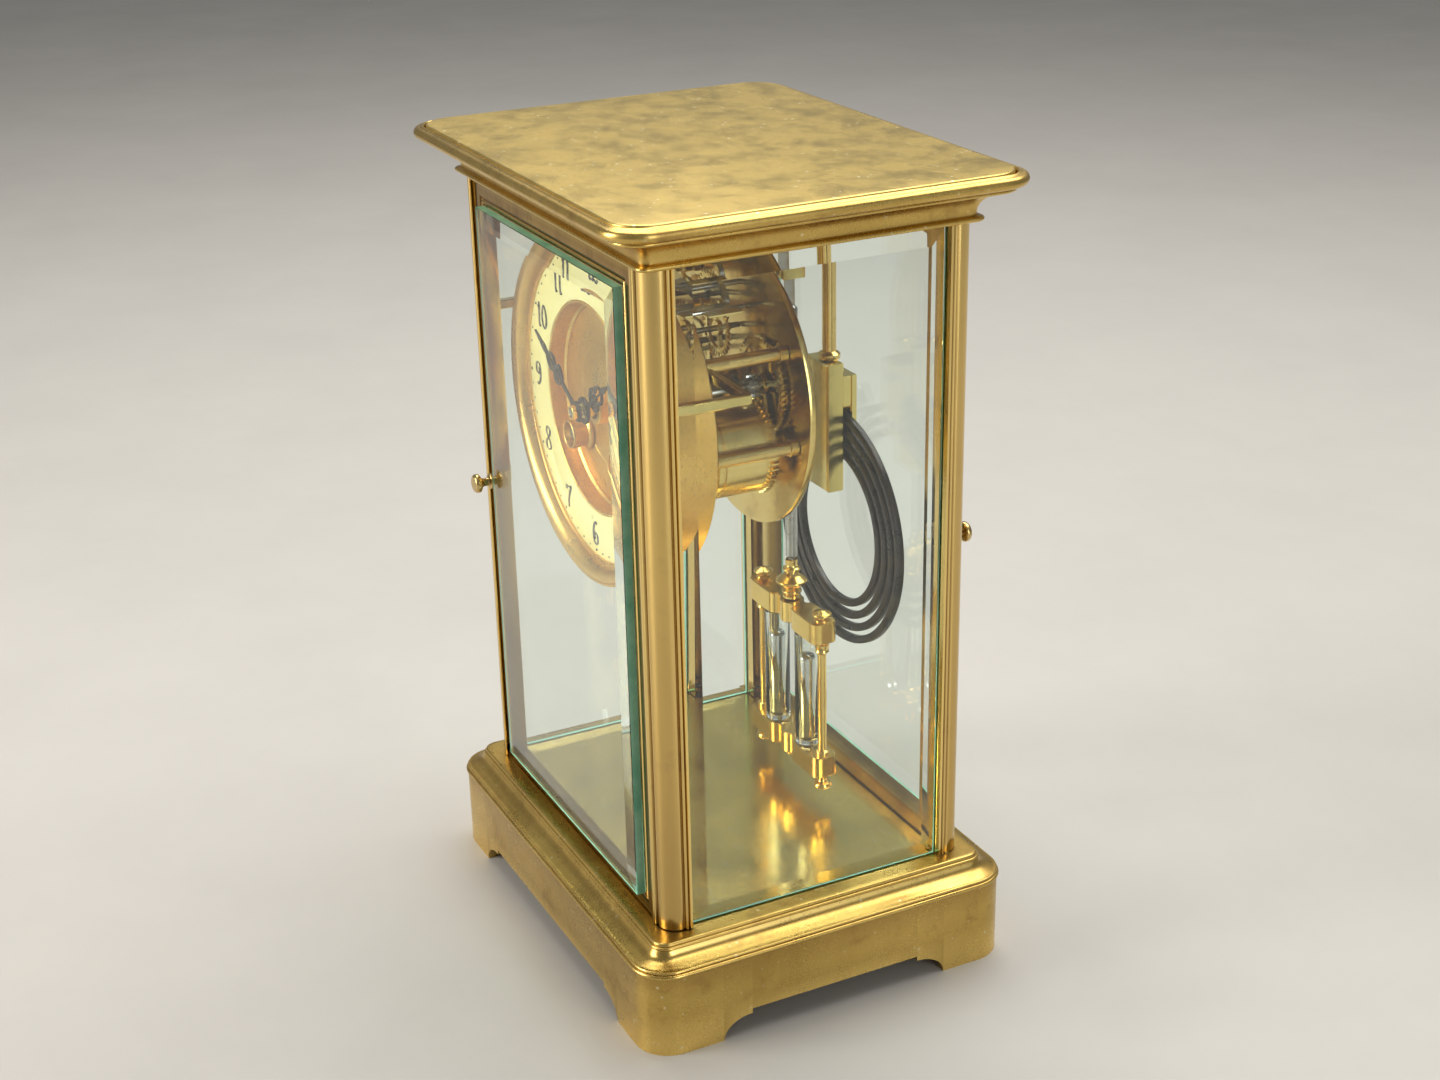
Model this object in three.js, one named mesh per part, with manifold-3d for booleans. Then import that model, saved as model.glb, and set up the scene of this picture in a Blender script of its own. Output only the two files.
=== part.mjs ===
// Four-glass mantel clock: brass case with bevelled glasses, a round striking movement,
// a two-vial compensated pendulum and a coil gong. Millimetres, +Z up, dial towards -Y.
// The origin is the middle of the base on the ground.
import * as THREE from 'three';
import { mergeVertices } from 'three/addons/utils/BufferGeometryUtils.js';
import Module from 'manifold-3d';

const wasm = await Module();
wasm.setup();

// ---------------------------------------------------------------- driving dimensions
const CASE_HEIGHT = 260;
const SLAB_HALF = [83.3, 66.9];          // widest line of the top moulding
const PLATE_HALF = [79.8, 63.3];         // flat plate let into the top
const BASE_HALF = [81.6, 65.4];          // widest line of the base moulding
const BASE_TOP = 35.7;                   // top of the base, where the pillars stand
const CORNICE_BOTTOM = 244.6;            // underside of the cornice
const PILLAR_OUTER = [69.9, 53.5];       // outer faces of the four pillars
const PILLAR_SIZE = 9.4;
const GAP = 0.3;                         // clearance between pieces that touch

const FOOT_CUT = { toe: 25.6, heel: 35.6, curveTop: 7.0, apron: 8.6 };
const BASE_WALL = 3;
const BASE_DECK = 26;                    // underside of the solid top of the base

const DOOR = { halfWidth: 59.8, front: 52.5, back: 46.5, stile: 6.5, topRail: 7, bottomRail: 5 };
const DOOR_BOTTOM = BASE_TOP + 0.7;
const DOOR_TOP = CORNICE_BOTTOM - 0.8;
const LEDGE = 1.5;                       // brass behind the rim of the door glass
const GLASS_RECESS = 0.6;                // how deep the door glass is let into its frame
const HINGE = { x: 57, y: 50.5, pinRadius: 1.1 };
const KNOB = { x: 57.4, z: 142, shaftRadius: 1.2, tongue: 6.3, tongueWidth: 3.6 };
const GLASS_THICKNESS = 3.4;
const GLASS_EDGE = 2.3;                  // thickness left at the bevelled edge
const BEVEL_WIDTH = 5.5;
const SIDE_GLASS_OUTER = 68.6;

const DIAL_Z = 182.5;                    // height of the hands' axis
const BEZEL_RADIUS = 55.2;
const CHAPTER_RING = { inner: 33.8, outer: 48.7, front: -38.9, back: -37.2 };
const WELL = { radius: 32.9, front: -33, back: -31.8 };
const BARREL = { x: 17, z: DIAL_Z - 13.5, drumRadius: 15.1, arborRadius: 2.2 };
const PLATE_RADIUS = 45;
const FRONT_PLATE = { front: -23, back: -20.5 };
const BACK_PLATE = { front: 10.5, back: 12.8 };

const PENDULUM = { y: 28, pivotZ: DIAL_Z + 33.5, rodRadius: 2, vialX: 10.5, columnX: 20.5 };
const GONG = { x: 8.8, z: 130.5, front: 39.6, depth: 2.4, strip: 2.6, startRadius: 39.7 };
const GONG_PITCH = 4.13;
const GONG_TURNS = 3.85;

// Train centres as [x, z] offsets from the hands' axis; the tooth size of each pair
// follows from its centre distance and its two tooth counts.
const CENTRE = [0, 0];
const GOING = [BARREL.x, BARREL.z - DIAL_Z];
const STRIKE = [-BARREL.x, BARREL.z - DIAL_Z];
const SECOND = [17.23, 5.22];
const THIRD = [-13.8, 11.57];
const ESCAPE = [0, 19.67];
const ANCHOR = [0, PENDULUM.pivotZ - DIAL_Z];
const MINUTE = [0, 12];
const HAMMER = [-31.1, -29.4];
const GREAT_TEETH = 50;
const SECOND_TEETH = 50;
const TRAIN_TEETH = 42;
const PINION_LEAVES = 10;
const SMALL_LEAVES = 7;
const MINUTE_WHEEL_TEETH = 30;
const MINUTE_PINION_LEAVES = 10;
const HOUR_WHEEL_TEETH = 40;
const MINUTE_HAND_ANGLE = 300;           // degrees clockwise from twelve
const HOUR_HAND_ANGLE = 55;

// ---------------------------------------------------------------- materials
function metal(color, roughness) {
  return new THREE.MeshStandardMaterial({ color, roughness, metalness: 1 });
}

const agedBrass = () => metal(0x8f7838, 0.42);
const gilt = () => metal(0xc9963f, 0.3);
const movementBrass = () => metal(0xc8a850, 0.25);
const paleGilt = () => metal(0xd8b25a, 0.2);
const steel = () => metal(0x8d8d90, 0.3);
const blued = () => metal(0x1d2028, 0.35);
const enamel = () => new THREE.MeshStandardMaterial({ color: 0xe9e6c8, roughness: 0.25 });
const glass = () => new THREE.MeshStandardMaterial({
  color: 0xcfe8dd, roughness: 0.05, transparent: true, opacity: 0.3,
});

const clock = new THREE.Group();

function add(name, shape, material) {
  const geometry = shape.isBufferGeometry ? shape : toGeometry(shape);
  const mesh = new THREE.Mesh(geometry, material);
  mesh.name = name;
  clock.add(mesh);
}

// ---------------------------------------------------------------- solids
function withoutSlivers(index) {
  const kept = [];
  for (let i = 0; i < index.length; i += 3) {
    const [a, b, c] = [index[i], index[i + 1], index[i + 2]];
    if (a !== b && b !== c && c !== a) kept.push(a, b, c);
  }
  return new Uint32Array(kept);
}

function toSolid(geometry) {
  const bare = geometry.clone();
  bare.deleteAttribute('normal');
  bare.deleteAttribute('uv');
  const merged = mergeVertices(bare, 1e-4);
  return new wasm.Manifold(new wasm.Mesh({
    numProp: 3,
    vertProperties: merged.attributes.position.array,
    triVerts: withoutSlivers(merged.index.array),
  }));
}

function toGeometry(solid) {
  const mesh = solid.getMesh();
  const geometry = new THREE.BufferGeometry();
  geometry.setAttribute('position', new THREE.BufferAttribute(mesh.vertProperties.slice(), 3));
  geometry.setIndex(new THREE.BufferAttribute(mesh.triVerts.slice(), 1));
  return geometry;
}

function join(...geometries) {
  return geometries.map(toSolid).reduce((whole, next) => whole.add(next));
}

function cut(whole, ...tools) {
  const start = whole.isBufferGeometry ? toSolid(whole) : whole;
  return tools.map(toSolid).reduce((rest, tool) => rest.subtract(tool), start);
}

function box(x0, x1, y0, y1, z0, z1) {
  const geometry = new THREE.BoxGeometry(x1 - x0, y1 - y0, z1 - z0);
  return geometry.translate((x0 + x1) / 2, (y0 + y1) / 2, (z0 + z1) / 2);
}

// A turned piece on the axis through (x, z) that runs along Y; points are [radius, y].
// LatheGeometry faces outwards when its profile climbs the axis.
function turned(points, x, z, segments = 24) {
  const profile = points.map(([radius, y]) => new THREE.Vector2(radius, y));
  return new THREE.LatheGeometry(profile, segments).translate(x, 0, z);
}

// The same on a vertical axis through (x, y); points are [radius, z].
function upright(points, x, y, segments = 24) {
  const profile = points.map(([radius, z]) => new THREE.Vector2(radius, z));
  return new THREE.LatheGeometry(profile, segments).rotateX(Math.PI / 2).translate(x, y, 0);
}

function rod(radius, y0, y1, x, z, segments = 12) {
  return turned([[0, y0], [radius, y0], [radius, y1], [0, y1]], x, z, segments);
}

function tube(inner, outer, y0, y1, x, z, segments = 24) {
  const points = [[inner, y0], [outer, y0], [outer, y1], [inner, y1], [inner, y0]];
  return turned(points, x, z, segments);
}

function post(radius, z0, z1, x, y, segments = 12) {
  return upright([[0, z0], [radius, z0], [radius, z1], [0, z1]], x, y, segments);
}

// A flat piece drawn in X and Z and given its thickness along Y.
function plateXZ(shape, y0, y1, curveSegments = 12) {
  const options = { depth: y1 - y0, bevelEnabled: false, curveSegments };
  return new THREE.ExtrudeGeometry(shape, options).rotateX(Math.PI / 2).translate(0, y1, 0);
}

// A flat piece drawn in Y and Z and given its thickness along X.
function plateYZ(shape, x0, x1, curveSegments = 12) {
  const options = { depth: x1 - x0, bevelEnabled: false, curveSegments };
  const geometry = new THREE.ExtrudeGeometry(shape, options);
  return geometry.rotateX(Math.PI / 2).rotateZ(Math.PI / 2).translate(x0, 0, 0);
}

function roundRing(halfX, halfY, radius, steps = 5) {
  const points = [];
  const corners = [[1, 1], [-1, 1], [-1, -1], [1, -1]];
  corners.forEach(([sx, sy], quarter) => {
    for (let i = 0; i <= steps; i += 1) {
      const angle = (quarter + i / steps) * Math.PI / 2;
      const x = sx * (halfX - radius) + radius * Math.cos(angle);
      const y = sy * (halfY - radius) + radius * Math.sin(angle);
      points.push([x, y]);
    }
  });
  return points;
}

// A moulded block: rounded rectangles [halfX, halfY, corner radius, z] joined from the
// bottom up and closed by a fan at each end.
function moulded(levels, steps = 5) {
  const count = 4 * (steps + 1);
  const positions = [];
  levels.forEach(([halfX, halfY, radius, z]) => {
    roundRing(halfX, halfY, radius, steps).forEach(([x, y]) => positions.push(x, y, z));
  });
  const index = [];
  for (let row = 0; row + 1 < levels.length; row += 1) {
    for (let i = 0; i < count; i += 1) {
      const a = row * count + i;
      const b = row * count + (i + 1) % count;
      index.push(a, b, b + count, a, b + count, a + count);
    }
  }
  const bottom = levels.length * count;
  positions.push(0, 0, levels[0][3], 0, 0, levels.at(-1)[3]);
  const lastRow = (levels.length - 1) * count;
  for (let i = 0; i < count; i += 1) {
    const next = (i + 1) % count;
    index.push(bottom, next, i, bottom + 1, lastRow + i, lastRow + next);
  }
  const geometry = new THREE.BufferGeometry();
  geometry.setAttribute('position', new THREE.Float32BufferAttribute(positions, 3));
  geometry.setIndex(index);
  return geometry;
}

// Rounded-rectangle levels stated as [inset from the reference line, z].
function insetLevels([halfX, halfY], corner, steps) {
  return steps.map(([inset, z]) => [halfX - inset, halfY - inset, corner - inset * 0.5, z]);
}

// ---------------------------------------------------------------- base
// The arch between two feet, drawn from below the ground: a hollow curve up from each toe,
// a small step, then the straight apron.
function footArch(half) {
  const toe = half - FOOT_CUT.toe;
  const heel = half - FOOT_CUT.heel;
  const shape = new THREE.Shape();
  shape.moveTo(-toe, -1);
  shape.lineTo(toe, -1);
  shape.lineTo(toe, 0);
  shape.absellipse(heel, 0, toe - heel, FOOT_CUT.curveTop, 0, Math.PI / 2, false, 0);
  shape.lineTo(heel, FOOT_CUT.apron);
  shape.lineTo(-heel, FOOT_CUT.apron);
  shape.absellipse(-heel, 0, toe - heel, FOOT_CUT.curveTop, Math.PI / 2, Math.PI, false, 0);
  return shape;
}

const baseSteps = [
  [0.6, 0], [0.6, 27.6], [0, 28.3], [0, 29.3], [0.7, 30], [2.2, 30.2], [4.6, 31],
  [6.4, 32.6], [6.9, 34], [6.5, 34.7], [7.2, 35.3], [8.6, BASE_TOP],
];
const cavity = [BASE_HALF[0] - BASE_WALL - 0.6, BASE_HALF[1] - BASE_WALL - 0.6, 9];
const FLOOR = { bottom: 33.3, top: 35.9, side: 64.6, front: 46 };

function floorOutline(grow) {
  const side = FLOOR.side + grow;
  const front = FLOOR.front + grow;
  const notchX = PILLAR_OUTER[0] - PILLAR_SIZE - GAP + grow;
  const notchY = PILLAR_OUTER[1] - PILLAR_SIZE - GAP + grow;
  const shape = new THREE.Shape();
  shape.moveTo(side, -notchY);
  [[side, notchY], [notchX, notchY], [notchX, front], [-notchX, front], [-notchX, notchY],
    [-side, notchY], [-side, -notchY], [-notchX, -notchY], [-notchX, -front],
    [notchX, -front], [notchX, -notchY]].forEach(([x, y]) => shape.lineTo(x, y));
  return shape;
}

function floorSlab(grow, z0, z1) {
  const options = { depth: z1 - z0, bevelEnabled: false };
  return new THREE.ExtrudeGeometry(floorOutline(grow), options).translate(0, 0, z0);
}

const pinCorners = [['front', 1, -1], ['back', -1, 1]];
const basePinHoles = pinCorners.map(([, sx, sy]) => (
  post(HINGE.pinRadius + GAP, 32.7, BASE_TOP + 1, sx * HINGE.x, sy * HINGE.y)));
add('base_plinth', cut(
  moulded(insetLevels(BASE_HALF, 12, baseSteps)),
  moulded([[...cavity, -1], [...cavity, BASE_DECK]], 3),
  plateXZ(footArch(BASE_HALF[0]), -80, 80, 5),
  plateYZ(footArch(BASE_HALF[1]), -100, 100, 5),
  floorSlab(GAP, FLOOR.bottom - GAP, BASE_TOP + 1),
  ...basePinHoles,
), agedBrass());
add('floor_plate', floorSlab(0, FLOOR.bottom, FLOOR.top), paleGilt());

// ---------------------------------------------------------------- pillars
// Square stock with a large quarter round on the outer corner between two thin steps.
function pillarSection(sx, sy) {
  const [a, b] = PILLAR_OUTER;
  const round = 6;
  const step = 0.5;
  const points = [[a - PILLAR_SIZE, b - PILLAR_SIZE], [a, b - PILLAR_SIZE], [a, b - round - 0.8],
    [a - step, b - round - 0.8]];
  for (let i = 0; i <= 6; i += 1) {
    const angle = i / 6 * Math.PI / 2;
    points.push([a - step - round * (1 - Math.cos(angle)), b - step - round * (1 - Math.sin(angle))]);
  }
  points.push([a - round - 0.8, b - step], [a - round - 0.8, b], [a - PILLAR_SIZE, b]);
  const placed = points.map(([x, y]) => new THREE.Vector2(sx * x, sy * y));
  return new THREE.Shape(sx * sy > 0 ? placed : placed.reverse());
}

const PILLAR_BOTTOM = BASE_TOP + GAP;
const PILLAR_TOP = CORNICE_BOTTOM - GAP;

// The notch in a pillar's inner face that the door catch turns into.
function catchNotch(sx, sy) {
  const face = PILLAR_OUTER[0] - PILLAR_SIZE;
  const back = PILLAR_OUTER[1] - PILLAR_SIZE;
  const xs = [sx * (face - 1), sx * (KNOB.x + KNOB.tongue + 0.6)].sort((p, q) => p - q);
  const ys = [sy * (DOOR.back + 0.1), sy * (back - 1)].sort((p, q) => p - q);
  return box(xs[0], xs[1], ys[0], ys[1], KNOB.z - 2.6, KNOB.z + 6.5);
}

const corners = [['front_left', -1, -1], ['front_right', 1, -1], ['back_left', -1, 1],
  ['back_right', 1, 1]];
corners.forEach(([place, sx, sy]) => {
  const options = { depth: PILLAR_TOP - PILLAR_BOTTOM, bevelEnabled: false };
  const bar = new THREE.ExtrudeGeometry(pillarSection(sx, sy), options);
  bar.translate(0, 0, PILLAR_BOTTOM);
  const hasCatch = place === 'front_left' || place === 'back_right';
  add(`pillar_${place}`, hasCatch ? cut(bar, catchNotch(sx, sy)) : bar, agedBrass());
});

// ---------------------------------------------------------------- cornice and top
const corniceLevels = [
  [71, 54.6, 4, CORNICE_BOTTOM], [71.6, 55.2, 4.4, 245.3], [71, 54.6, 4, 246],
  [70.2, 53.8, 3.6, 246.4], [70.6, 54.2, 4, 249], [72.6, 56.2, 5.4, 251.4],
  [76.4, 60, 7.8, 253.4], [79.6, 63.2, 9.8, 254.2], [80.2, 63.8, 10.2, 255.2],
  [82.2, 65.8, 11.2, 255.9], [...SLAB_HALF, 12.2, 257.3], [82.8, 66.4, 11.8, 258.7],
  [81, 64.6, 11, 259.5],
];
const CEILING = 254.5;
const RECESS_FLOOR = 256.9;
add('cornice', cut(
  moulded(corniceLevels),
  moulded([[60, 44, 3, CORNICE_BOTTOM - 1], [60, 44, 3, CEILING]], 2),
  moulded([[PLATE_HALF[0] + GAP, PLATE_HALF[1] + GAP, 10.6, RECESS_FLOOR],
    [PLATE_HALF[0] + GAP, PLATE_HALF[1] + GAP, 10.6, CASE_HEIGHT]]),
  ...pinCorners.map(([, sx, sy]) => (
    post(HINGE.pinRadius + GAP, CORNICE_BOTTOM - 1, 247.8, sx * HINGE.x, sy * HINGE.y))),
), agedBrass());
add('top_plate', moulded([
  [...PLATE_HALF, 10.3, RECESS_FLOOR + GAP], [...PLATE_HALF, 10.3, CASE_HEIGHT - 0.6],
  [PLATE_HALF[0] - 0.8, PLATE_HALF[1] - 0.8, 9.6, CASE_HEIGHT],
]), agedBrass());

// ---------------------------------------------------------------- glasses
// A bevelled pane lying in X and Z with its bevelled face towards -Y.
function pane(halfWidth, z0, z1, front) {
  const halfHeight = (z1 - z0) / 2;
  const corner = 0.4;
  const block = moulded([
    [halfWidth, halfHeight, corner, 0], [halfWidth, halfHeight, corner, GLASS_EDGE],
    [halfWidth - BEVEL_WIDTH, halfHeight - BEVEL_WIDTH, corner, GLASS_THICKNESS],
  ], 1);
  return block.rotateX(Math.PI / 2).translate(0, front + GLASS_THICKNESS, (z0 + z1) / 2);
}

[['left', -1], ['right', 1]].forEach(([side, sx]) => {
  const halfWidth = PILLAR_OUTER[1] - PILLAR_SIZE - GAP;
  const sheet = pane(halfWidth, BASE_TOP + 0.4, CORNICE_BOTTOM - 0.4, -SIDE_GLASS_OUTER);
  add(`side_glass_${side}`, sheet.rotateZ(sx * Math.PI / 2), glass());
});

// ---------------------------------------------------------------- doors
// The front door hangs at +X and the back door is the same turned half round. The glass
// is let into the front of its frame and stands proud of it, so that its rim shows.
function doorFrame() {
  const { halfWidth, front, back, stile, topRail, bottomRail } = DOOR;
  const frame = box(-halfWidth, halfWidth, -front, -back, DOOR_BOTTOM, DOOR_TOP);
  const opening = [halfWidth - stile, DOOR_BOTTOM + bottomRail, DOOR_TOP - topRail];
  const [open, low, high] = opening;
  return cut(
    frame,
    box(-open + LEDGE, open - LEDGE, -front - 1, -back + 1, low + LEDGE, high - LEDGE),
    box(-open, open, -front - 1, -front + GLASS_RECESS, low, high),
    rod(KNOB.shaftRadius + GAP, -front - 1, -back + 1, -KNOB.x, KNOB.z),
    post(HINGE.pinRadius + 0.4, DOOR_BOTTOM - 1, DOOR_BOTTOM + 2.3, HINGE.x, -HINGE.y),
    post(HINGE.pinRadius + 0.4, DOOR_TOP - 2.8, DOOR_TOP + 1, HINGE.x, -HINGE.y),
  );
}

function doorGlass() {
  const halfWidth = DOOR.halfWidth - DOOR.stile - GAP;
  const low = DOOR_BOTTOM + DOOR.bottomRail + GAP;
  const high = DOOR_TOP - DOOR.topRail - GAP;
  return pane(halfWidth, low, high, -DOOR.front + GLASS_RECESS - GAP - GLASS_THICKNESS);
}

// Turned knob, its shaft through the stile, and the catch tongue filed on its end.
function doorKnob() {
  const face = -DOOR.front - GAP;
  const { shaftRadius } = KNOB;
  const tongueBack = -DOOR.back + 1.5;
  const profile = [[0, face - 7.6], [2.6, face - 7.6], [3.2, face - 7], [3.2, face - 5.6],
    [2.6, face - 5], [1.4, face - 4.4], [1.4, face - 2.4], [2.4, face - 1.8], [2.4, face - 1.1],
    [2.7, face - 0.9], [2.7, face], [shaftRadius, face], [shaftRadius, tongueBack],
    [0, tongueBack]];
  const half = KNOB.tongueWidth / 2;
  const tongue = box(-half, half, -DOOR.back + GAP, tongueBack, -half, KNOB.tongue);
  return join(turned(profile, -KNOB.x, KNOB.z, 14), tongue.translate(-KNOB.x, 0, KNOB.z));
}

[['front', 0], ['back', Math.PI]].forEach(([side, turn]) => {
  add(`${side}_door_frame`, toGeometry(doorFrame()).rotateZ(turn), agedBrass());
  add(`${side}_door_glass`, doorGlass().rotateZ(turn), glass());
  add(`${side}_door_knob`, toGeometry(doorKnob()).rotateZ(turn), agedBrass());
});

pinCorners.forEach(([side, sx, sy]) => {
  const bottomPin = post(HINGE.pinRadius, 33, DOOR_BOTTOM + 2, sx * HINGE.x, sy * HINGE.y);
  const topPin = post(HINGE.pinRadius, DOOR_TOP - 2.5, 247.5, sx * HINGE.x, sy * HINGE.y);
  add(`${side}_hinge_pin_bottom`, bottomPin, steel());
  add(`${side}_hinge_pin_top`, topPin, steel());
});

// ---------------------------------------------------------------- dial
const DIAL_SEGMENTS = 44;
add('dial_bezel', turned([
  [49, -37.2], [49, -38.9], [49.8, -40.4], [51.8, -41], [54.4, -40.6], [BEZEL_RADIUS, -39.6],
  [54.2, -37.6], [53.4, -24.5], [52, -24.5], [52, -37.2], [49, -37.2],
], 0, DIAL_Z, DIAL_SEGMENTS), gilt());
add('chapter_ring', tube(CHAPTER_RING.inner, CHAPTER_RING.outer, CHAPTER_RING.front,
  CHAPTER_RING.back, 0, DIAL_Z, DIAL_SEGMENTS), enamel());

// The pan behind the ring: centre boss, sunken disc, well wall and hidden flange.
const pan = turned([
  [3.1, WELL.back], [3.1, -38], [5.3, -38], [5.3, WELL.front], [WELL.radius, WELL.front],
  [WELL.radius, -38.3], [33.5, -38.3], [33.5, -36.9], [51.7, -36.9], [51.7, -35.8],
  [34.2, -35.8], [34.2, WELL.back], [3.1, WELL.back],
], 0, DIAL_Z, 36);
const TUBE_BODY = 4.7;
const tubeHoles = [-1, 1].map((sx) => (
  rod(TUBE_BODY + GAP, WELL.front - 1, WELL.back + 1, sx * BARREL.x, BARREL.z, 20)));
add('dial_centre', cut(pan, ...tubeHoles), gilt());
[['left', -1], ['right', 1]].forEach(([side, sx]) => {
  const flange = WELL.front - GAP;
  add(`winding_tube_${side}`, turned([
    [3.2, WELL.back], [3.2, -39.5], [4.3, -39.5], [TUBE_BODY, -38.8], [TUBE_BODY, flange - 1],
    [5.9, flange - 0.8], [5.9, flange], [TUBE_BODY, flange], [TUBE_BODY, WELL.back],
    [3.2, WELL.back],
  ], sx * BARREL.x, BARREL.z, 16), gilt());
});

// ---------------------------------------------------------------- toothed wheels
function distance([ax, az], [bx, bz]) {
  return Math.hypot(bx - ax, bz - az);
}

// A toothed outline about the origin: straight-sided pointed teeth with open gaps.
function toothed(teeth, pitchRadius, phase) {
  const toothSize = 2 * pitchRadius / teeth;
  const root = pitchRadius - 1.2 * toothSize;
  const tip = pitchRadius + 0.8 * toothSize;
  const step = 2 * Math.PI / teeth;
  const points = [];
  for (let i = 0; i < teeth; i += 1) {
    const middle = phase + i * step;
    [[-0.25, root], [0, tip], [0.25, root]].forEach(([share, radius]) => {
      const angle = middle + share * step;
      points.push(new THREE.Vector2(radius * Math.cos(angle), radius * Math.sin(angle)));
    });
  }
  return new THREE.Shape(points);
}

// Crossings: the openings between a wheel's four spokes.
function crossings(shape, inner, outer) {
  const spoke = 1.1;
  for (let quarter = 0; quarter < 4; quarter += 1) {
    const hole = new THREE.Path();
    const points = [];
    const start = Math.asin(spoke / outer);
    for (let i = 0; i <= 4; i += 1) {
      const angle = start + (Math.PI / 2 - 2 * start) * i / 4;
      points.push([outer * Math.cos(angle), outer * Math.sin(angle)]);
    }
    const inside = Math.asin(spoke / inner);
    points.push([inner * Math.sin(inside), inner * Math.cos(inside)]);
    points.push([inner * Math.cos(inside), inner * Math.sin(inside)]);
    const turn = quarter * Math.PI / 2;
    hole.setFromPoints(points.map(([x, z]) => (
      new THREE.Vector2(x, z).rotateAround(new THREE.Vector2(0, 0), turn))));
    shape.holes.push(hole);
  }
  return shape;
}

function wheelAt(centre, shape, y0, y1) {
  return plateXZ(shape, y0, y1, 6).translate(centre[0], 0, DIAL_Z + centre[1]);
}

// The tooth angle that puts a gap of the wheel at "to" against a tooth of the wheel at
// "from", measured along their common pitch line.
function meshPhase(from, to, fromRadius, toRadius, fromPhase, toTeeth) {
  const line = Math.atan2(to[1] - from[1], to[0] - from[0]);
  const pitch = 2 * Math.PI * toRadius / toTeeth;
  return line + Math.PI - (fromRadius * (fromPhase - line) + pitch / 2) / toRadius;
}

function pitchRadii(from, to, fromTeeth, toTeeth) {
  const span = distance(from, to);
  return [span * fromTeeth / (fromTeeth + toTeeth), span * toTeeth / (fromTeeth + toTeeth)];
}

// ---------------------------------------------------------------- movement frame
const PIVOT = 0.55;
const PIVOT_HOLE = 0.9;
const PILLARS = [['upper_left', -30, 18.5], ['upper_right', 30, 18.5], ['lower_left', -36.4, -9.5],
  ['lower_right', 36.4, -9.5]];

const arborHole = BARREL.arborRadius + GAP;
const sharedHoles = [[GOING, arborHole], [STRIKE, arborHole], [SECOND, PIVOT_HOLE],
  [THIRD, PIVOT_HOLE], [ESCAPE, PIVOT_HOLE]];
const frontHoles = [...sharedHoles, [CENTRE, 1.5], [MINUTE, PIVOT_HOLE], [ANCHOR, PIVOT_HOLE],
  [HAMMER, PIVOT_HOLE]];
const backHoles = [...sharedHoles, [CENTRE, PIVOT_HOLE], [ANCHOR, 1.4], [HAMMER, 1.5]];
const drilled = (holes, extent) => {
  const disc = rod(PLATE_RADIUS, extent.front, extent.back, 0, DIAL_Z, 40);
  const bits = holes.map(([[x, z], radius]) => (
    rod(radius, extent.front - 1, extent.back + 1, x, DIAL_Z + z, 8)));
  return cut(disc, ...bits);
};
add('front_plate', drilled(frontHoles, FRONT_PLATE), movementBrass());
add('back_plate', drilled(backHoles, BACK_PLATE), movementBrass());

PILLARS.forEach(([place, x, z]) => {
  const y0 = FRONT_PLATE.back + GAP;
  const y1 = BACK_PLATE.front - GAP;
  add(`plate_pillar_${place}`, turned([
    [0, y0], [3, y0], [3, y0 + 2], [2.3, y0 + 3], [2.3, y1 - 3], [2.6, y1 - 2.4], [2.6, y1],
    [0, y1],
  ], x, DIAL_Z + z, 10), movementBrass());
});

// Straps that carry the movement: each runs from behind the front plate out to the side
// and forward to the back face of a front pillar.
[['left', -1], ['right', 1]].forEach(([side, sx]) => {
  const inner = 36;
  const outer = PILLAR_OUTER[0] - PILLAR_SIZE - GAP;
  const pillarBack = -(PILLAR_OUTER[1] - PILLAR_SIZE - GAP);
  const strap = [FRONT_PLATE.back + GAP, FRONT_PLATE.back + GAP + 2.5];
  const across = [sx * inner, sx * (outer + 3)].sort((p, q) => p - q);
  const forward = [sx * outer, sx * (outer + 3)].sort((p, q) => p - q);
  const [bottom, top] = [DIAL_Z + 16, DIAL_Z + 21];
  add(`movement_bracket_${side}`, join(
    box(...across, ...strap, bottom, top),
    box(...forward, pillarBack, strap[1], bottom, top),
  ), movementBrass());
});

// ---------------------------------------------------------------- barrels and arbors
const [greatRadius, secondPinionRadius] = pitchRadii(GOING, SECOND, GREAT_TEETH, PINION_LEAVES);
const GREAT_WHEEL = { front: 3.8, back: 6.4 };

function barrel(centre) {
  const bore = BARREL.arborRadius + GAP;
  const drum = tube(bore, BARREL.drumRadius, -14, GREAT_WHEEL.front + 0.2, centre[0],
    DIAL_Z + centre[1], 28);
  const shape = toothed(GREAT_TEETH, greatRadius, 0);
  const middle = new THREE.Path();
  middle.absarc(0, 0, bore, 0, 2 * Math.PI, true);
  shape.holes.push(middle);
  return join(drum, wheelAt(centre, shape, GREAT_WHEEL.front, GREAT_WHEEL.back));
}

// Winding arbor: key square in front, ratchet wheel on the front plate, plain to the back.
function windingArbor(centre) {
  const square = 1.5;
  const [x, z] = [centre[0], DIAL_Z + centre[1]];
  return join(
    box(x - square, x + square, -38.2, -29.9, z - square, z + square),
    rod(BARREL.arborRadius, -30, BACK_PLATE.back + 1, x, z, 12),
    wheelAt(centre, new THREE.Shape(ratchet(18)), -25.6, -24.2),
  );
}

// Saw teeth: a radial face and a long slope.
function ratchet(teeth) {
  const points = [];
  for (let i = 0; i < teeth; i += 1) {
    const angle = 2 * Math.PI * i / teeth;
    points.push(new THREE.Vector2(5.3 * Math.cos(angle), 5.3 * Math.sin(angle)));
    points.push(new THREE.Vector2(6.4 * Math.cos(angle), 6.4 * Math.sin(angle)));
  }
  return points;
}

add('going_barrel', barrel(GOING), movementBrass());
add('going_arbor', windingArbor(GOING), steel());
add('strike_barrel', barrel(STRIKE), movementBrass());
add('strike_arbor', windingArbor(STRIKE), steel());

// ---------------------------------------------------------------- going train
const ARBOR_FRONT = FRONT_PLATE.back + GAP;
const ARBOR_BACK = BACK_PLATE.front - GAP;

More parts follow.
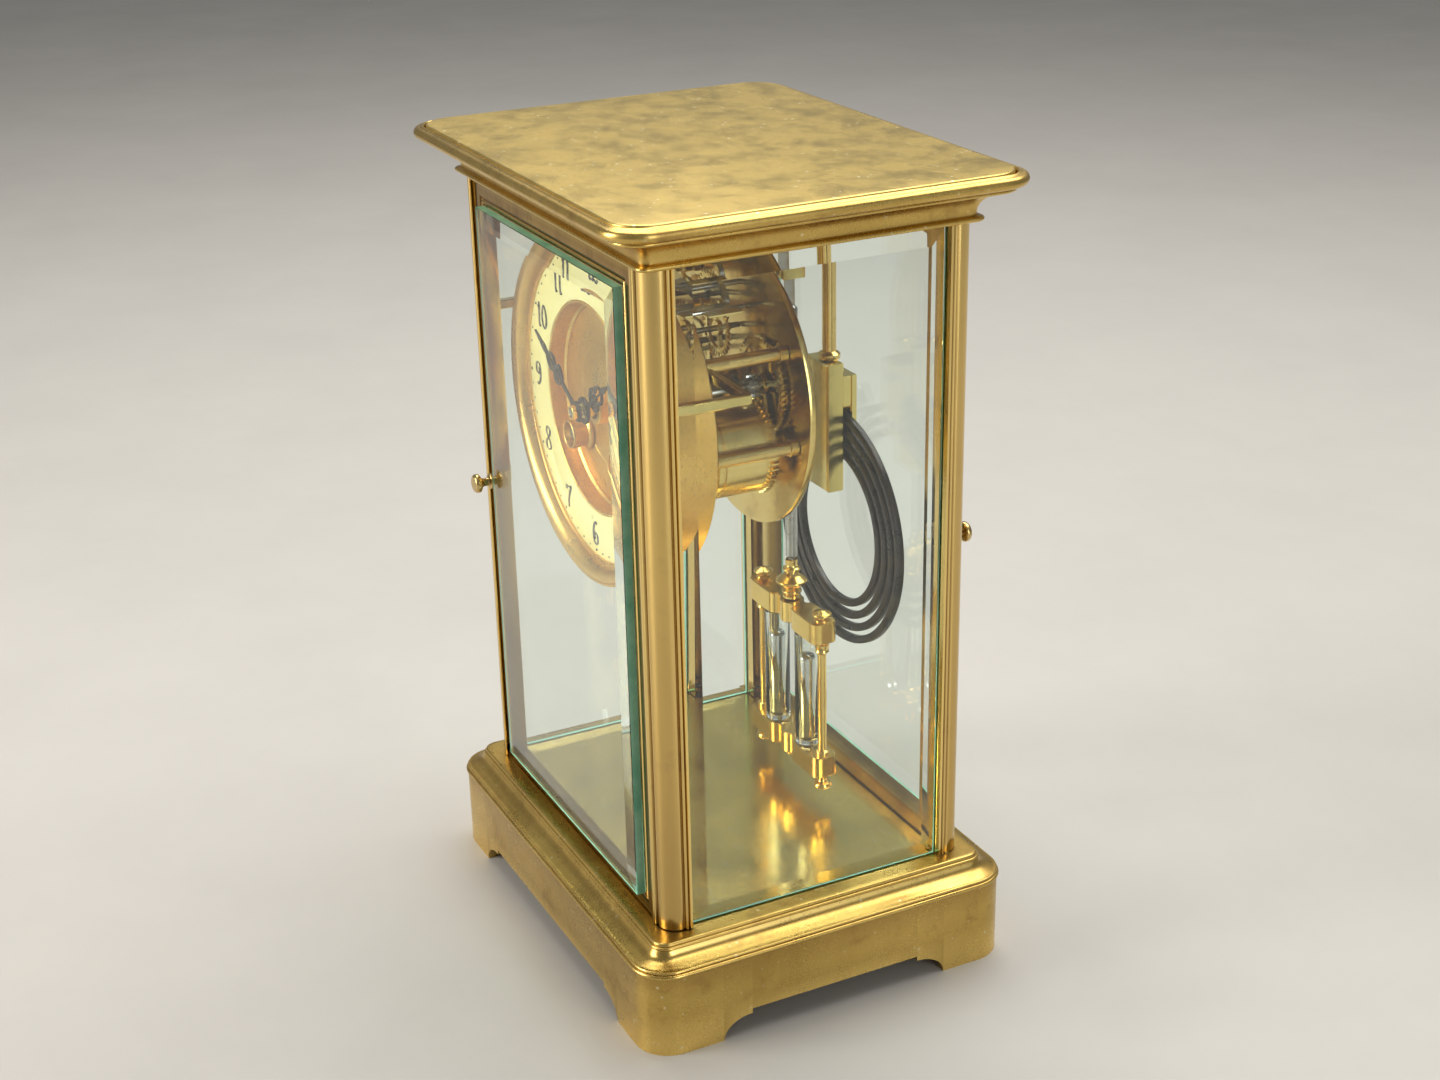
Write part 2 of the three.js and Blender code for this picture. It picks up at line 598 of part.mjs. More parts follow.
// A plain arbor between the plates with a thin pivot in each.
function arbor(centre, radius) {
  return turned([
    [0, FRONT_PLATE.front + 0.4], [PIVOT, FRONT_PLATE.front + 0.4], [PIVOT, ARBOR_FRONT],
    [radius, ARBOR_FRONT], [radius, ARBOR_BACK], [PIVOT, ARBOR_BACK],
    [PIVOT, BACK_PLATE.back - 0.4], [0, BACK_PLATE.back - 0.4],
  ], centre[0], DIAL_Z + centre[1], 10);
}

const secondPinionPhase = meshPhase(GOING, SECOND, greatRadius, secondPinionRadius, 0,
  PINION_LEAVES);
const [secondRadius, centrePinionRadius] = pitchRadii(SECOND, CENTRE, SECOND_TEETH, PINION_LEAVES);
const centrePinionPhase = meshPhase(SECOND, CENTRE, secondRadius, centrePinionRadius, 0,
  PINION_LEAVES);
add('second_wheel', join(
  arbor(SECOND, 1.2),
  wheelAt(SECOND, toothed(PINION_LEAVES, secondPinionRadius, secondPinionPhase), 3.2, 7),
  wheelAt(SECOND, crossings(toothed(SECOND_TEETH, secondRadius, 0), 3.4, 12.6), 8, 9.2),
), movementBrass());

const [centreRadius, thirdPinionRadius] = pitchRadii(CENTRE, THIRD, TRAIN_TEETH, SMALL_LEAVES);
const thirdPinionPhase = meshPhase(CENTRE, THIRD, centreRadius, thirdPinionRadius, 0,
  SMALL_LEAVES);
const [cannonRadius, minuteWheelRadius] = pitchRadii(CENTRE, MINUTE, PINION_LEAVES,
  MINUTE_WHEEL_TEETH);
const HAND_ARBOR_FRONT = -45.6;
add('centre_wheel', join(
  turned([
    [0, HAND_ARBOR_FRONT], [1.2, HAND_ARBOR_FRONT], [1.2, ARBOR_BACK], [PIVOT, ARBOR_BACK],
    [PIVOT, BACK_PLATE.back - 0.4], [0, BACK_PLATE.back - 0.4],
  ], 0, DIAL_Z, 12),
  wheelAt(CENTRE, toothed(PINION_LEAVES, centrePinionRadius, centrePinionPhase), 7.6, 9.6),
  wheelAt(CENTRE, crossings(toothed(TRAIN_TEETH, centreRadius, 0), 3.4, 12.8), -19.4, -18.3),
  wheelAt(CENTRE, toothed(PINION_LEAVES, cannonRadius, 0), -27, -25.1),
), movementBrass());

const [thirdRadius, escapePinionRadius] = pitchRadii(THIRD, ESCAPE, TRAIN_TEETH, SMALL_LEAVES);
const escapePinionPhase = meshPhase(THIRD, ESCAPE, thirdRadius, escapePinionRadius, 0,
  SMALL_LEAVES);
add('third_wheel', join(
  arbor(THIRD, 1),
  wheelAt(THIRD, toothed(SMALL_LEAVES, thirdPinionRadius, thirdPinionPhase), -20, -17.7),
  wheelAt(THIRD, crossings(toothed(TRAIN_TEETH, thirdRadius, 0), 3, 11.4), -16.9, -15.9),
), movementBrass());

const ESCAPE_TEETH = 30;
const ESCAPE_RADIUS = 9;

function escapeShape() {
  const points = [];
  for (let i = 0; i < ESCAPE_TEETH; i += 1) {
    const angle = 2 * Math.PI * i / ESCAPE_TEETH;
    const behind = angle - 0.12;
    points.push(new THREE.Vector2(7.4 * Math.cos(behind), 7.4 * Math.sin(behind)));
    points.push(new THREE.Vector2(ESCAPE_RADIUS * Math.cos(angle), ESCAPE_RADIUS * Math.sin(angle)));
  }
  return new THREE.Shape(points);
}

add('escape_wheel', join(
  arbor(ESCAPE, 0.9),
  wheelAt(ESCAPE, toothed(SMALL_LEAVES, escapePinionRadius, escapePinionPhase), -17.8, -15),
  wheelAt(ESCAPE, crossings(escapeShape(), 2.6, 6.2), 2, 3),
), movementBrass());

// The anchor spans the top of the escape wheel; its arbor passes the back plate and
// carries the crutch, whose fork holds the pendulum rod between two prongs.
function anchorShape() {
  const half = [[0, 36], [1.8, 35.4], [6.6, 31.6], [7.8, 27.4], [6.4, 27.2], [5.2, 30.4],
    [0, 31.6]];
  const left = half.slice(1, -1).reverse().map(([x, z]) => [-x, z]);
  return new THREE.Shape([...half, ...left].map(([x, z]) => new THREE.Vector2(x, z - ANCHOR[1])));
}

const CRUTCH = { front: 21, back: 22.5, forkZ: PENDULUM.pivotZ - 29.5 };
const prongs = [-1, 1].map((sx) => {
  const xs = [sx * (PENDULUM.rodRadius + 0.4), sx * (PENDULUM.rodRadius + 1.4)];
  xs.sort((p, q) => p - q);
  return box(xs[0], xs[1], CRUTCH.front, PENDULUM.y + 3, CRUTCH.forkZ - 1, CRUTCH.forkZ + 1);
});
const forkHalf = PENDULUM.rodRadius + 1.4;
add('anchor', join(
  turned([
    [0, FRONT_PLATE.front + 0.4], [PIVOT, FRONT_PLATE.front + 0.4], [PIVOT, ARBOR_FRONT],
    [0.9, ARBOR_FRONT], [0.9, CRUTCH.back], [0, CRUTCH.back],
  ], 0, PENDULUM.pivotZ, 10),
  wheelAt(ANCHOR, anchorShape(), 1.6, 3.4),
  box(-0.9, 0.9, CRUTCH.front, CRUTCH.back, CRUTCH.forkZ - 1, PENDULUM.pivotZ + 2),
  box(-forkHalf, forkHalf, CRUTCH.front, CRUTCH.back, CRUTCH.forkZ - 1, CRUTCH.forkZ + 1),
  ...prongs,
), steel());

// ---------------------------------------------------------------- motion work and hands
const minuteWheelPhase = meshPhase(CENTRE, MINUTE, cannonRadius, minuteWheelRadius, 0,
  MINUTE_WHEEL_TEETH);
const [minutePinionRadius, hourRadius] = pitchRadii(MINUTE, CENTRE, MINUTE_PINION_LEAVES,
  HOUR_WHEEL_TEETH);
const hourPhase = meshPhase(MINUTE, CENTRE, minutePinionRadius, hourRadius, 0, HOUR_WHEEL_TEETH);
add('minute_wheel', join(
  turned([
    [0, -29.4], [0.9, -29.4], [0.9, FRONT_PLATE.front - GAP], [PIVOT, FRONT_PLATE.front - GAP],
    [PIVOT, FRONT_PLATE.back - 0.4], [0, FRONT_PLATE.back - 0.4],
  ], MINUTE[0], DIAL_Z + MINUTE[1], 10),
  wheelAt(MINUTE, toothed(MINUTE_PINION_LEAVES, minutePinionRadius, 0), -29, -26.5),
  wheelAt(MINUTE, toothed(MINUTE_WHEEL_TEETH, minuteWheelRadius, minuteWheelPhase), -26.6, -25.5),
), movementBrass());

const HOUR_PIPE = { inner: 1.5, outer: 2.4, front: -41.6 };
const hourWheel = toothed(HOUR_WHEEL_TEETH, hourRadius, hourPhase);
const hourHole = new THREE.Path();
hourHole.absarc(0, 0, HOUR_PIPE.inner, 0, 2 * Math.PI, true);
hourWheel.holes.push(hourHole);
add('hour_wheel', join(
  wheelAt(CENTRE, hourWheel, -28.8, -27.8),
  tube(HOUR_PIPE.inner, HOUR_PIPE.outer, HOUR_PIPE.front, -28.6, 0, DIAL_Z, 12),
), movementBrass());

// A hand pointing up from its collet: [half width, distance from the axis] up one side,
// with one long opening in the widest part.
function hand(sides, opening, bore, angle, y0, y1) {
  const right = sides.map(([half, reach]) => new THREE.Vector2(half, reach));
  const left = sides.slice(0, -1).reverse().map(([half, reach]) => new THREE.Vector2(-half, reach));
  const shape = new THREE.Shape([...right, ...left]);
  const hole = new THREE.Path();
  hole.absarc(0, 0, bore, 0, 2 * Math.PI, true);
  shape.holes.push(hole, new THREE.Path(opening.map(([x, z]) => new THREE.Vector2(x, z))));
  const turn = THREE.MathUtils.degToRad(angle);
  return plateXZ(shape, y0, y1, 4).rotateY(turn).translate(0, 0, DIAL_Z);
}

add('hour_hand', hand(
  [[1.6, -4.2], [3.9, -2.2], [4.4, 0], [3.6, 2.8], [1.2, 4.6], [0.9, 9], [3.4, 12], [3.8, 14.5],
    [2.2, 17.5], [0.7, 19], [0, 23.5]],
  [[-2, 13], [0, 11.4], [2, 13], [1.6, 15.6], [0, 17], [-1.6, 15.6]],
  HOUR_PIPE.outer + GAP, HOUR_HAND_ANGLE, -41.4, -40.6,
), blued());
add('minute_hand', hand(
  [[1.2, -4], [2.9, -2], [3.4, 0], [2.8, 2.2], [0.9, 4], [0.8, 14], [2.6, 18], [3, 20.5],
    [1.6, 25], [0.6, 27], [0, 36]],
  [[-1.5, 19], [0, 17], [1.5, 19], [1.2, 21.8], [0, 24], [-1.2, 21.8]],
  1.2 + GAP, MINUTE_HAND_ANGLE, -43.6, -42.9,
), blued());
add('hand_nut', tube(1.2 + GAP, 2.3, -45.4, -43.9, 0, DIAL_Z, 12), paleGilt());

// ---------------------------------------------------------------- strike hammer
// The arbor crosses the plates; behind them the arm carries a round head beside the gong.
const HAMMER_ARM = 16;
const HAMMER_RISE = THREE.MathUtils.degToRad(40);    // slope of the arm above level
const hammerReach = [HAMMER_ARM * Math.cos(HAMMER_RISE), HAMMER_ARM * Math.sin(HAMMER_RISE)];
const hammerHead = new THREE.CylinderGeometry(3, 3, 7, 14);
hammerHead.rotateX(Math.PI / 2).rotateY(Math.PI - HAMMER_RISE);
hammerHead.translate(HAMMER[0] + hammerReach[0], 40.8, DIAL_Z + HAMMER[1] + hammerReach[1]);
const hammerArm = box(0, HAMMER_ARM, 39.9, 41.7, -0.9, 0.9);
hammerArm.rotateY(-HAMMER_RISE).translate(HAMMER[0], 0, DIAL_Z + HAMMER[1]);
add('hammer', join(
  turned([
    [0, FRONT_PLATE.front + 0.4], [PIVOT, FRONT_PLATE.front + 0.4], [PIVOT, ARBOR_FRONT],
    [1.1, ARBOR_FRONT], [1.1, 42.2], [0, 42.2],
  ], HAMMER[0], DIAL_Z + HAMMER[1], 10),
  hammerArm,
  hammerHead,
), steel());

// ---------------------------------------------------------------- pendulum
const SPRING = { thickness: 0.5, width: 3.6, top: PENDULUM.pivotZ + 2.5, bottom: 203 };
const cockSlot = box(-0.8, 0.8, PENDULUM.y - 2.2, PENDULUM.y + 2.2, PENDULUM.pivotZ - 4,
  SPRING.top + 0.5);
const cockFront = BACK_PLATE.back + GAP;
add('suspension_cock', cut(join(
  box(-7, 7, cockFront, cockFront + 2, PENDULUM.pivotZ + 4, PENDULUM.pivotZ + 10),
  box(-3.5, 3.5, cockFront, PENDULUM.y + 4, PENDULUM.pivotZ + 4, PENDULUM.pivotZ + 8),
  box(-3.5, 3.5, PENDULUM.y - 4, PENDULUM.y + 4, PENDULUM.pivotZ - 1, PENDULUM.pivotZ + 5),
), cockSlot), movementBrass());

const TOP_BAR = { bottom: 96.6, top: 104.2 };
const BOTTOM_BAR = { bottom: 47.5, top: 55 };
const halfSpring = SPRING.width / 2;
add('pendulum_rod', join(
  box(-SPRING.thickness / 2, SPRING.thickness / 2, PENDULUM.y - halfSpring,
    PENDULUM.y + halfSpring, SPRING.bottom - 1, SPRING.top),
  upright([
    [0, TOP_BAR.top + GAP], [1.2, TOP_BAR.top + GAP], [1.2, 119], [PENDULUM.rodRadius, 119.8],
    [PENDULUM.rodRadius, SPRING.bottom - 4], [2.6, SPRING.bottom - 3], [2.6, SPRING.bottom + 2],
    [1.2, SPRING.bottom + 3], [0, SPRING.bottom + 3],
  ], 0, PENDULUM.y, 14),
), steel());
add('rating_nut', upright([
  [1.5, 104.6], [3, 104.6], [3, 105.8], [2.5, 106.4], [3.3, 107.6], [3.3, 108.4], [4.6, 109.4],
  [5.3, 110.8], [4.4, 112.2], [2.4, 113.6], [3, 114.8], [3, 115.8], [2.1, 116.6], [2.1, 118.4],
  [1.5, 118.4], [1.5, 104.6],
], 0, PENDULUM.y, 16), paleGilt());

// The bars are lobed: a boss over each vial and each column, joined by a narrower web.
function lobedBar(z0, z1) {
  const { vialX, columnX, y } = PENDULUM;
  return join(
    box(-columnX, columnX, y - 2.9, y + 2.9, z0, z1),
    post(4.4, z0, z1, 0, y, 12),
    ...[-1, 1].map((sx) => post(5, z0, z1, sx * vialX, y, 14)),
    ...[-1, 1].map((sx) => post(3.1, z0, z1, sx * columnX, y, 10)),
  );
}

function knobOn(x, points) {
  return toSolid(upright(points, x, PENDULUM.y, 10));
}

const topFinial = [[0, 103.9], [1.8, 103.9], [1.6, 105], [3, 105.6], [3.1, 106.8], [1.8, 107.7],
  [0, 107.9]];
add('pendulum_top_bar', [-1, 1].reduce(
  (bar, sx) => bar.add(knobOn(sx * PENDULUM.columnX, topFinial)),
  lobedBar(TOP_BAR.bottom, TOP_BAR.top),
), paleGilt());

const columnProfile = [[0, 42.2], [2, 42.3], [2.9, 43.2], [2.9, 44.4], [1.5, 45.4], [1.5, 46.6],
  [2.4, 47.6], [2.4, 55.8], [1.5, 56.6], [1.5, 92.4], [2.4, 93.2], [2.4, 95.2], [1.6, 96.3],
  [0, 96.3]];
add('pendulum_stirrup', [-1, 1].reduce(
  (bar, sx) => bar.add(knobOn(sx * PENDULUM.columnX, columnProfile)),
  lobedBar(BOTTOM_BAR.bottom, BOTTOM_BAR.top),
), paleGilt());

[['left', -1], ['right', 1]].forEach(([side, sx]) => {
  const bottom = BOTTOM_BAR.top + GAP;
  const top = TOP_BAR.bottom - GAP;
  add(`vial_${side}`, upright([
    [0, bottom], [4.25, bottom], [4.25, top], [3.3, top], [3.3, bottom + 1.4], [0, bottom + 1.4],
  ], sx * PENDULUM.vialX, PENDULUM.y, 16), glass());
  add(`mercury_${side}`, post(2.9, bottom + 1.8, 88, sx * PENDULUM.vialX, PENDULUM.y, 16), steel());
});

// ---------------------------------------------------------------- gong
const GONG_BLOCK = { x0: 1.5, x1: 15.5, y0: 32.9, y1: 39.2, z0: 146, z1: 189 };
add('gong_rod', post(2.25, GONG_BLOCK.z1 + GAP, CEILING - GAP, 9.5, 37.0, 14), movementBrass());
add('gong_block', box(GONG_BLOCK.x0, GONG_BLOCK.x1, GONG_BLOCK.y0, GONG_BLOCK.y1, GONG_BLOCK.z0,
  GONG_BLOCK.z1), movementBrass());

// A flat coil that starts behind the block and winds inwards, clockwise from the front.
class GongSpiral extends THREE.Curve {
  getPoint(share, target = new THREE.Vector3()) {
    const turn = share * GONG_TURNS;
    const radius = GONG.startRadius - GONG_PITCH * turn;
    const angle = Math.PI / 2 - 2 * Math.PI * turn;
    const y = GONG.front + GONG.depth / 2;
    return target.set(GONG.x + radius * Math.cos(angle), y, GONG.z + radius * Math.sin(angle));
  }
}

const halfStrip = GONG.strip / 2;
const halfDepth = GONG.depth / 2;
const stripSection = new THREE.Shape([[-halfStrip, -halfDepth], [halfStrip, -halfDepth],
  [halfStrip, halfDepth], [-halfStrip, halfDepth]].map(([x, y]) => new THREE.Vector2(x, y)));
add('gong_coil', new THREE.ExtrudeGeometry(stripSection, {
  steps: 56, bevelEnabled: false, extrudePath: new GongSpiral(),
}), blued());

export default clock;
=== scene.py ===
import math

import bmesh
import bpy
import numpy as np
from mathutils import Matrix, Vector


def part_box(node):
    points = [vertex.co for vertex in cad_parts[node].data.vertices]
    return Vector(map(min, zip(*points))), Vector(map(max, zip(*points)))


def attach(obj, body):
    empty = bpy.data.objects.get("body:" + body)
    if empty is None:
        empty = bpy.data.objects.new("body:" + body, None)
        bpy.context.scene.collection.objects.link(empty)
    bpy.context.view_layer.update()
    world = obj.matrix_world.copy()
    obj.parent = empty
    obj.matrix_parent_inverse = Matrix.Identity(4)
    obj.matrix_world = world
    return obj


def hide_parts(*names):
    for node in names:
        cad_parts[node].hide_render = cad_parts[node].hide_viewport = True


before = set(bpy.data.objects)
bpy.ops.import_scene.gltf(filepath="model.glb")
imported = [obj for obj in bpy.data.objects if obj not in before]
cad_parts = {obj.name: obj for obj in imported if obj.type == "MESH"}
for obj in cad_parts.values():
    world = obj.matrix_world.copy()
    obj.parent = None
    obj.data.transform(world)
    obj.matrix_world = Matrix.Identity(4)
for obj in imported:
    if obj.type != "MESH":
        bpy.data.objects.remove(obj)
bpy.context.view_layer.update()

# ---------------------------------------------------------------- base
# The base is one heavy brass casting on four bracket feet, open underneath. Its upper
# edge is turned into fine beads and a wide shallow slope, and the old polish has gone
# to a cloudy olive gold. Every size below is in millimetres.
MM = 0.001


def corners(node):
    """The lowest and the highest corner of a node at rest, in millimetres."""
    return (np.array(corner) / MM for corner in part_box(node))


def shell(rows, wrap=False, caps=False):
    """Faces between closed rings of points: point j of ring i joins its neighbours on the
    same ring and on the next. `wrap` joins the last ring to the first, `caps` closes the
    first and the last ring with a flat face."""
    rows = np.asarray(rows, float)
    count, length = rows.shape[:2]
    i, j = np.meshgrid(np.arange(count if wrap else count - 1), np.arange(length),
                       indexing="ij")
    below, above = i * length, (i + 1) % count * length
    beside = (j + 1) % length
    faces = np.stack([below + j, below + beside, above + beside, above + j], -1)
    faces = faces.reshape(-1, 4).tolist()
    if caps:
        faces.append(list(range(length))[::-1])
        faces.append(list(range((count - 1) * length, count * length)))
    return rows.reshape(-1, 3), faces


def piece(name, shells, body, material, nodes=(), sharp=35.0):
    """One object from several shells. Doubled points are merged, the faces turned
    outwards, and edges that bend more than `sharp` degrees stay crisp."""
    points = np.concatenate([part[0] for part in shells]) * MM
    starts = np.cumsum([0] + [len(part[0]) for part in shells])
    faces = [[corner + start for corner in face]
             for part, start in zip(shells, starts) for face in part[1]]
    mesh = bpy.data.meshes.new(name)
    mesh.from_pydata(points.tolist(), [], faces)
    work = bmesh.new()
    work.from_mesh(mesh)
    bmesh.ops.remove_doubles(work, verts=work.verts, dist=2e-6)
    bmesh.ops.dissolve_degenerate(work, edges=work.edges, dist=1e-6)
    bmesh.ops.recalc_face_normals(work, faces=work.faces)
    work.to_mesh(mesh)
    work.free()
    mesh.shade_smooth()
    mesh.set_sharp_from_angle(angle=math.radians(sharp))
    mesh.materials.append(material)
    made = bpy.data.objects.new(name, mesh)
    bpy.context.scene.collection.objects.link(made)
    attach(made, body)
    if nodes:
        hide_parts(*nodes)
    return made


class Finish:
    """Builds one procedural metal, enamel or glass finish on Object coordinates."""

    def __init__(self, name, metallic=1.0):
        self.material = bpy.data.materials.new(name)
        self.material.use_nodes = True
        self.tree = self.material.node_tree
        self.shader = self.tree.nodes["Principled BSDF"]
        self.shader.inputs["Metallic"].default_value = metallic
        self.place = self.tree.nodes.new("ShaderNodeTexCoord").outputs["Object"]

    def texture(self, kind, scale, stretch=None, **settings):
        """A noise or cell texture, `scale` cells to the metre, stretched along the axes."""
        made = self.tree.nodes.new(kind)
        made.inputs["Scale"].default_value = scale
        for key, value in settings.items():
            made.inputs[key].default_value = value
        source = self.place
        if stretch:
            mapping = self.tree.nodes.new("ShaderNodeMapping")
            mapping.inputs["Scale"].default_value = stretch
            self.tree.links.new(source, mapping.inputs["Vector"])
            source = mapping.outputs["Vector"]
        self.tree.links.new(source, made.inputs["Vector"])
        return made.outputs["Distance" if kind.endswith("Voronoi") else "Fac"]

    def noise(self, scale, detail=5.0, rough=0.6, warp=0.0, stretch=None):
        return self.texture("ShaderNodeTexNoise", scale, stretch, Detail=detail,
                            Roughness=rough, Distortion=warp)

    def share(self, source, low, high, least=0.0, most=1.0):
        """Maps source from low..high to least..most, clamped."""
        ranged = self.tree.nodes.new("ShaderNodeMapRange")
        for key, value in (("From Min", low), ("From Max", high), ("To Min", least),
                           ("To Max", most)):
            ranged.inputs[key].default_value = value
        self.tree.links.new(source, ranged.inputs["Value"])
        return ranged.outputs["Result"]

    def combine(self, operation, first, second):
        """first and second, each a socket or a number, through one maths step."""
        made = self.tree.nodes.new("ShaderNodeMath")
        made.operation = operation
        for socket, value in zip(made.inputs, (first, second)):
            if isinstance(value, (int, float)):
                socket.default_value = value
            else:
                self.tree.links.new(value, socket)
        return made.outputs[0]

    def mix(self, factor, first, second):
        """Colour `first` where factor is 0 and `second` where it is 1."""
        made = self.tree.nodes.new("ShaderNodeMix")
        made.data_type = "RGBA"
        self.tree.links.new(factor, made.inputs["Factor"])
        for socket, value in zip((made.inputs[6], made.inputs[7]), (first, second)):
            if isinstance(value, tuple):
                socket.default_value = (*value, 1.0)
            else:
                self.tree.links.new(value, socket)
        return made.outputs[2]

    def finish(self, colour, roughness, height=None, strength=0.1, depth=0.0003):
        self.tree.links.new(colour, self.shader.inputs["Base Color"])
        self.tree.links.new(roughness, self.shader.inputs["Roughness"])
        if height is not None:
            bump = self.tree.nodes.new("ShaderNodeBump")
            bump.inputs["Strength"].default_value = strength
            bump.inputs["Distance"].default_value = depth
            self.tree.links.new(height, bump.inputs["Height"])
            self.tree.links.new(bump.outputs["Normal"], self.shader.inputs["Normal"])
        return self.material


def brass(name, bright, dull, stain, rough, cloud=20.0, lines=None, dust=0.0, wear_highlight_and_shade=0.0):
    """Old brass: clouds of `dull` tarnish over `bright` metal, darker `stain` blotches,
    fine polishing `lines` stretched along one axis, pale `dust` specks, and, by the last
    argument, edges painted bright as wear and highlight, hollows dark as dirt and shade."""
    made = Finish(name)
    clouds = made.noise(cloud, 7.0, 0.62, 0.5)
    blots = made.noise(cloud * 3.3, 9.0, 0.7)
    grain = made.noise(1400.0, 3.0)
    tone = made.mix(made.share(clouds, 0.38, 0.64), bright, dull)
    tone = made.mix(made.share(blots, 0.54, 0.72, 0.0, 0.8), tone, stain)
    tone = made.mix(made.share(grain, 0.42, 0.60, 0.0, 0.08), tone, stain)
    # Painted light: convex edges turn brighter than the metal as highlight and wear, and hollows turn to
    # the stain colour as painted shade and dirt.
    if wear_highlight_and_shade:
        bend = made.tree.nodes.new("ShaderNodeNewGeometry").outputs["Pointiness"]
        rubbed_highlight = tuple(min(1.0, channel * 1.5 + 0.04) for channel in bright)
        tone = made.mix(made.share(bend, 0.52, 0.62, 0.0, wear_highlight_and_shade), tone, rubbed_highlight)
        tone = made.mix(made.share(bend, 0.49, 0.42, 0.0, wear_highlight_and_shade), tone, stain)
    if dust:
        cells = made.texture("ShaderNodeTexVoronoi", 260.0, Randomness=1.0)
        speck = made.combine("MULTIPLY", made.share(cells, 0.16, 0.09),
                             made.share(made.noise(90.0, 2.0), 0.44, 0.58, 0.0, dust))
        tone = made.mix(speck, tone, (0.90, 0.82, 0.56))
    gloss = made.share(made.combine("ADD", blots, made.share(grain, 0.3, 0.7, -0.1, 0.1)),
                       0.34, 0.68, *rough)
    height = grain
    if lines:
        streak = made.noise(1.0, 3.0, 0.6, 0.0, lines)
        height = made.combine("ADD", grain, made.combine("MULTIPLY", streak, 2.0))
    return made.finish(tone, gloss, height, 0.035)


def clouded(name, metallic, scale, detail, spread, first, second, rough, strength,
            grip=0.6):
    """A plain finish from one cloud noise: it mixes the two colours over `spread`, runs
    the roughness between the two values of `rough`, and is the bump."""
    made = Finish(name, metallic)
    cloud = made.noise(scale, detail, grip)
    return made.finish(made.mix(made.share(cloud, *spread), first, second),
                       made.share(cloud, 0.3, 0.7, *rough), cloud, strength)


def arc(centre, radius, start, end, count=8):
    """Points on a circle from `start` to `end` degrees."""
    angle = np.radians(np.linspace(start, end, count))
    return np.stack([np.cos(angle), np.sin(angle)], 1) * radius + np.asarray(centre, float)


def around(half, corner, inset, least, places):
    """A rounded rectangle lying `inset` inside the one with those half sizes. The corner
    radius shrinks with the inset, but not below `least`, and `places` says where points
    stand along the sides that run in X and in Y."""
    radius = max(corner - inset, least)
    straight = np.asarray(half, float) - inset - radius
    shrink = straight / (np.asarray(half) - corner)
    along_x, along_y = places[0] * shrink[0], places[1] * shrink[1]
    bend = arc((0, 0), radius, 0, 90, 11)
    reach_x, reach_y = straight + radius
    quarters = [bend + straight, bend[:, ::-1] * [-1, 1] + straight * [-1, 1],
                -bend - straight, bend[:, ::-1] * [1, -1] + straight * [1, -1]]
    return np.vstack([
        np.stack([np.full(len(along_y), reach_x), along_y], 1), quarters[0],
        np.stack([-along_x, np.full(len(along_x), reach_y)], 1), quarters[1],
        np.stack([np.full(len(along_y), -reach_x), -along_y], 1), quarters[2],
        np.stack([along_x, np.full(len(along_x), -reach_y)], 1), quarters[3]])


def moulded(half, corner, profile, places, least=0.6):
    """Rings [inset, height] of a moulding carried round a rounded rectangle."""
    rings = []
    for inset, height in profile:
        ring = around(half, corner, inset, least, places)
        rings.append(np.column_stack([ring, np.full(len(ring), height)]))
    return np.array(rings)


def lid(ring):
    """One flat face over a ring of points."""
    return ring, [list(range(len(ring)))]


low, high = corners("base_plinth")
BASE_HALF = high[:2]
BASE_TOP = high[2]
BASE_CORNER = 12.0
TOE, HEEL, ARCH, APRON = 25.6, 35.6, 7.0, 8.6
BASE_WALL = 3.6


def foot_edge(place, half):
    """Height of the lower edge along a side: the ground under a foot, a quarter of an
    ellipse up to a small step, then the straight apron."""
    run = np.clip((np.abs(place) - half + HEEL) / (HEEL - TOE), 0.0, 1.0)
    return np.where(np.abs(place) < half - HEEL, APRON, ARCH * np.sqrt(1.0 - run ** 2))


def side_places(half):
    """Places along one side, close together where the foot curves."""
    curve = half - HEEL + (HEEL - TOE) * np.sin(np.radians(np.linspace(0, 90, 16)))
    step = [half - HEEL - 0.03]
    ends = [half - BASE_CORNER - 1.5]
    right = np.concatenate([np.linspace(0, half - HEEL, 7)[1:-1], step, curve, ends])
    return np.concatenate([-right[::-1], [0.0], right])


places = [side_places(BASE_HALF[0]), side_places(BASE_HALF[1])]
outer = moulded(BASE_HALF, BASE_CORNER, np.vstack([
    [[0.6, 0.0], [0.6, 14.0], [0.6, 27.3]],
    arc((0.75, 28.05), 0.75, 255, 110), [[0.75, 28.85]], arc((1.1, 29.35), 0.5, 250, 80, 7),
    [[1.7, 29.85], [2.3, 30.1]], [[3.5, 30.45], [4.8, 30.95], [5.8, 31.6], [6.5, 32.4]],
    [[6.75, 33.2], [6.9, 33.35]], arc((7.3, 33.95), 0.6, 235, 105, 7), [[7.35, 34.55]],
    arc((8.2, 34.85), 0.85, 200, 95, 8), [[9.4, BASE_TOP], [16.0, BASE_TOP]],
    [[16.9, BASE_TOP], [16.9, 33.0]]]), places)
inner = moulded(BASE_HALF, BASE_CORNER,
                [[17.0, 26.0], [BASE_WALL, 26.0], [BASE_WALL, 14.0], [BASE_WALL, 0.0]], places)
edge_x = np.abs(np.abs(outer[0, :, 0]) - BASE_HALF[0] + 0.6) < 1e-6
edge_y = np.abs(np.abs(outer[0, :, 1]) - BASE_HALF[1] + 0.6) < 1e-6
for rim in (outer[0], inner[-1]):
    rim[edge_x, 2] = foot_edge(outer[0, edge_x, 1], BASE_HALF[1])
    rim[edge_y, 2] = foot_edge(outer[0, edge_y, 0], BASE_HALF[0])
# The beads of the base get a painted highlight on their edges and painted shade in their grooves,
# through the last argument.
case_brass = brass("aged_case_brass", (0.66, 0.46, 0.135), (0.52, 0.35, 0.095),
                   (0.27, 0.145, 0.045), (0.24, 0.38), 15.0, (12.0, 700.0, 700.0), 0.5, 0.8)
piece("moulded_base", [shell(np.concatenate([inner, outer])), lid(outer[-1]), lid(inner[0])],
      "case", case_brass, ["base_plinth"])


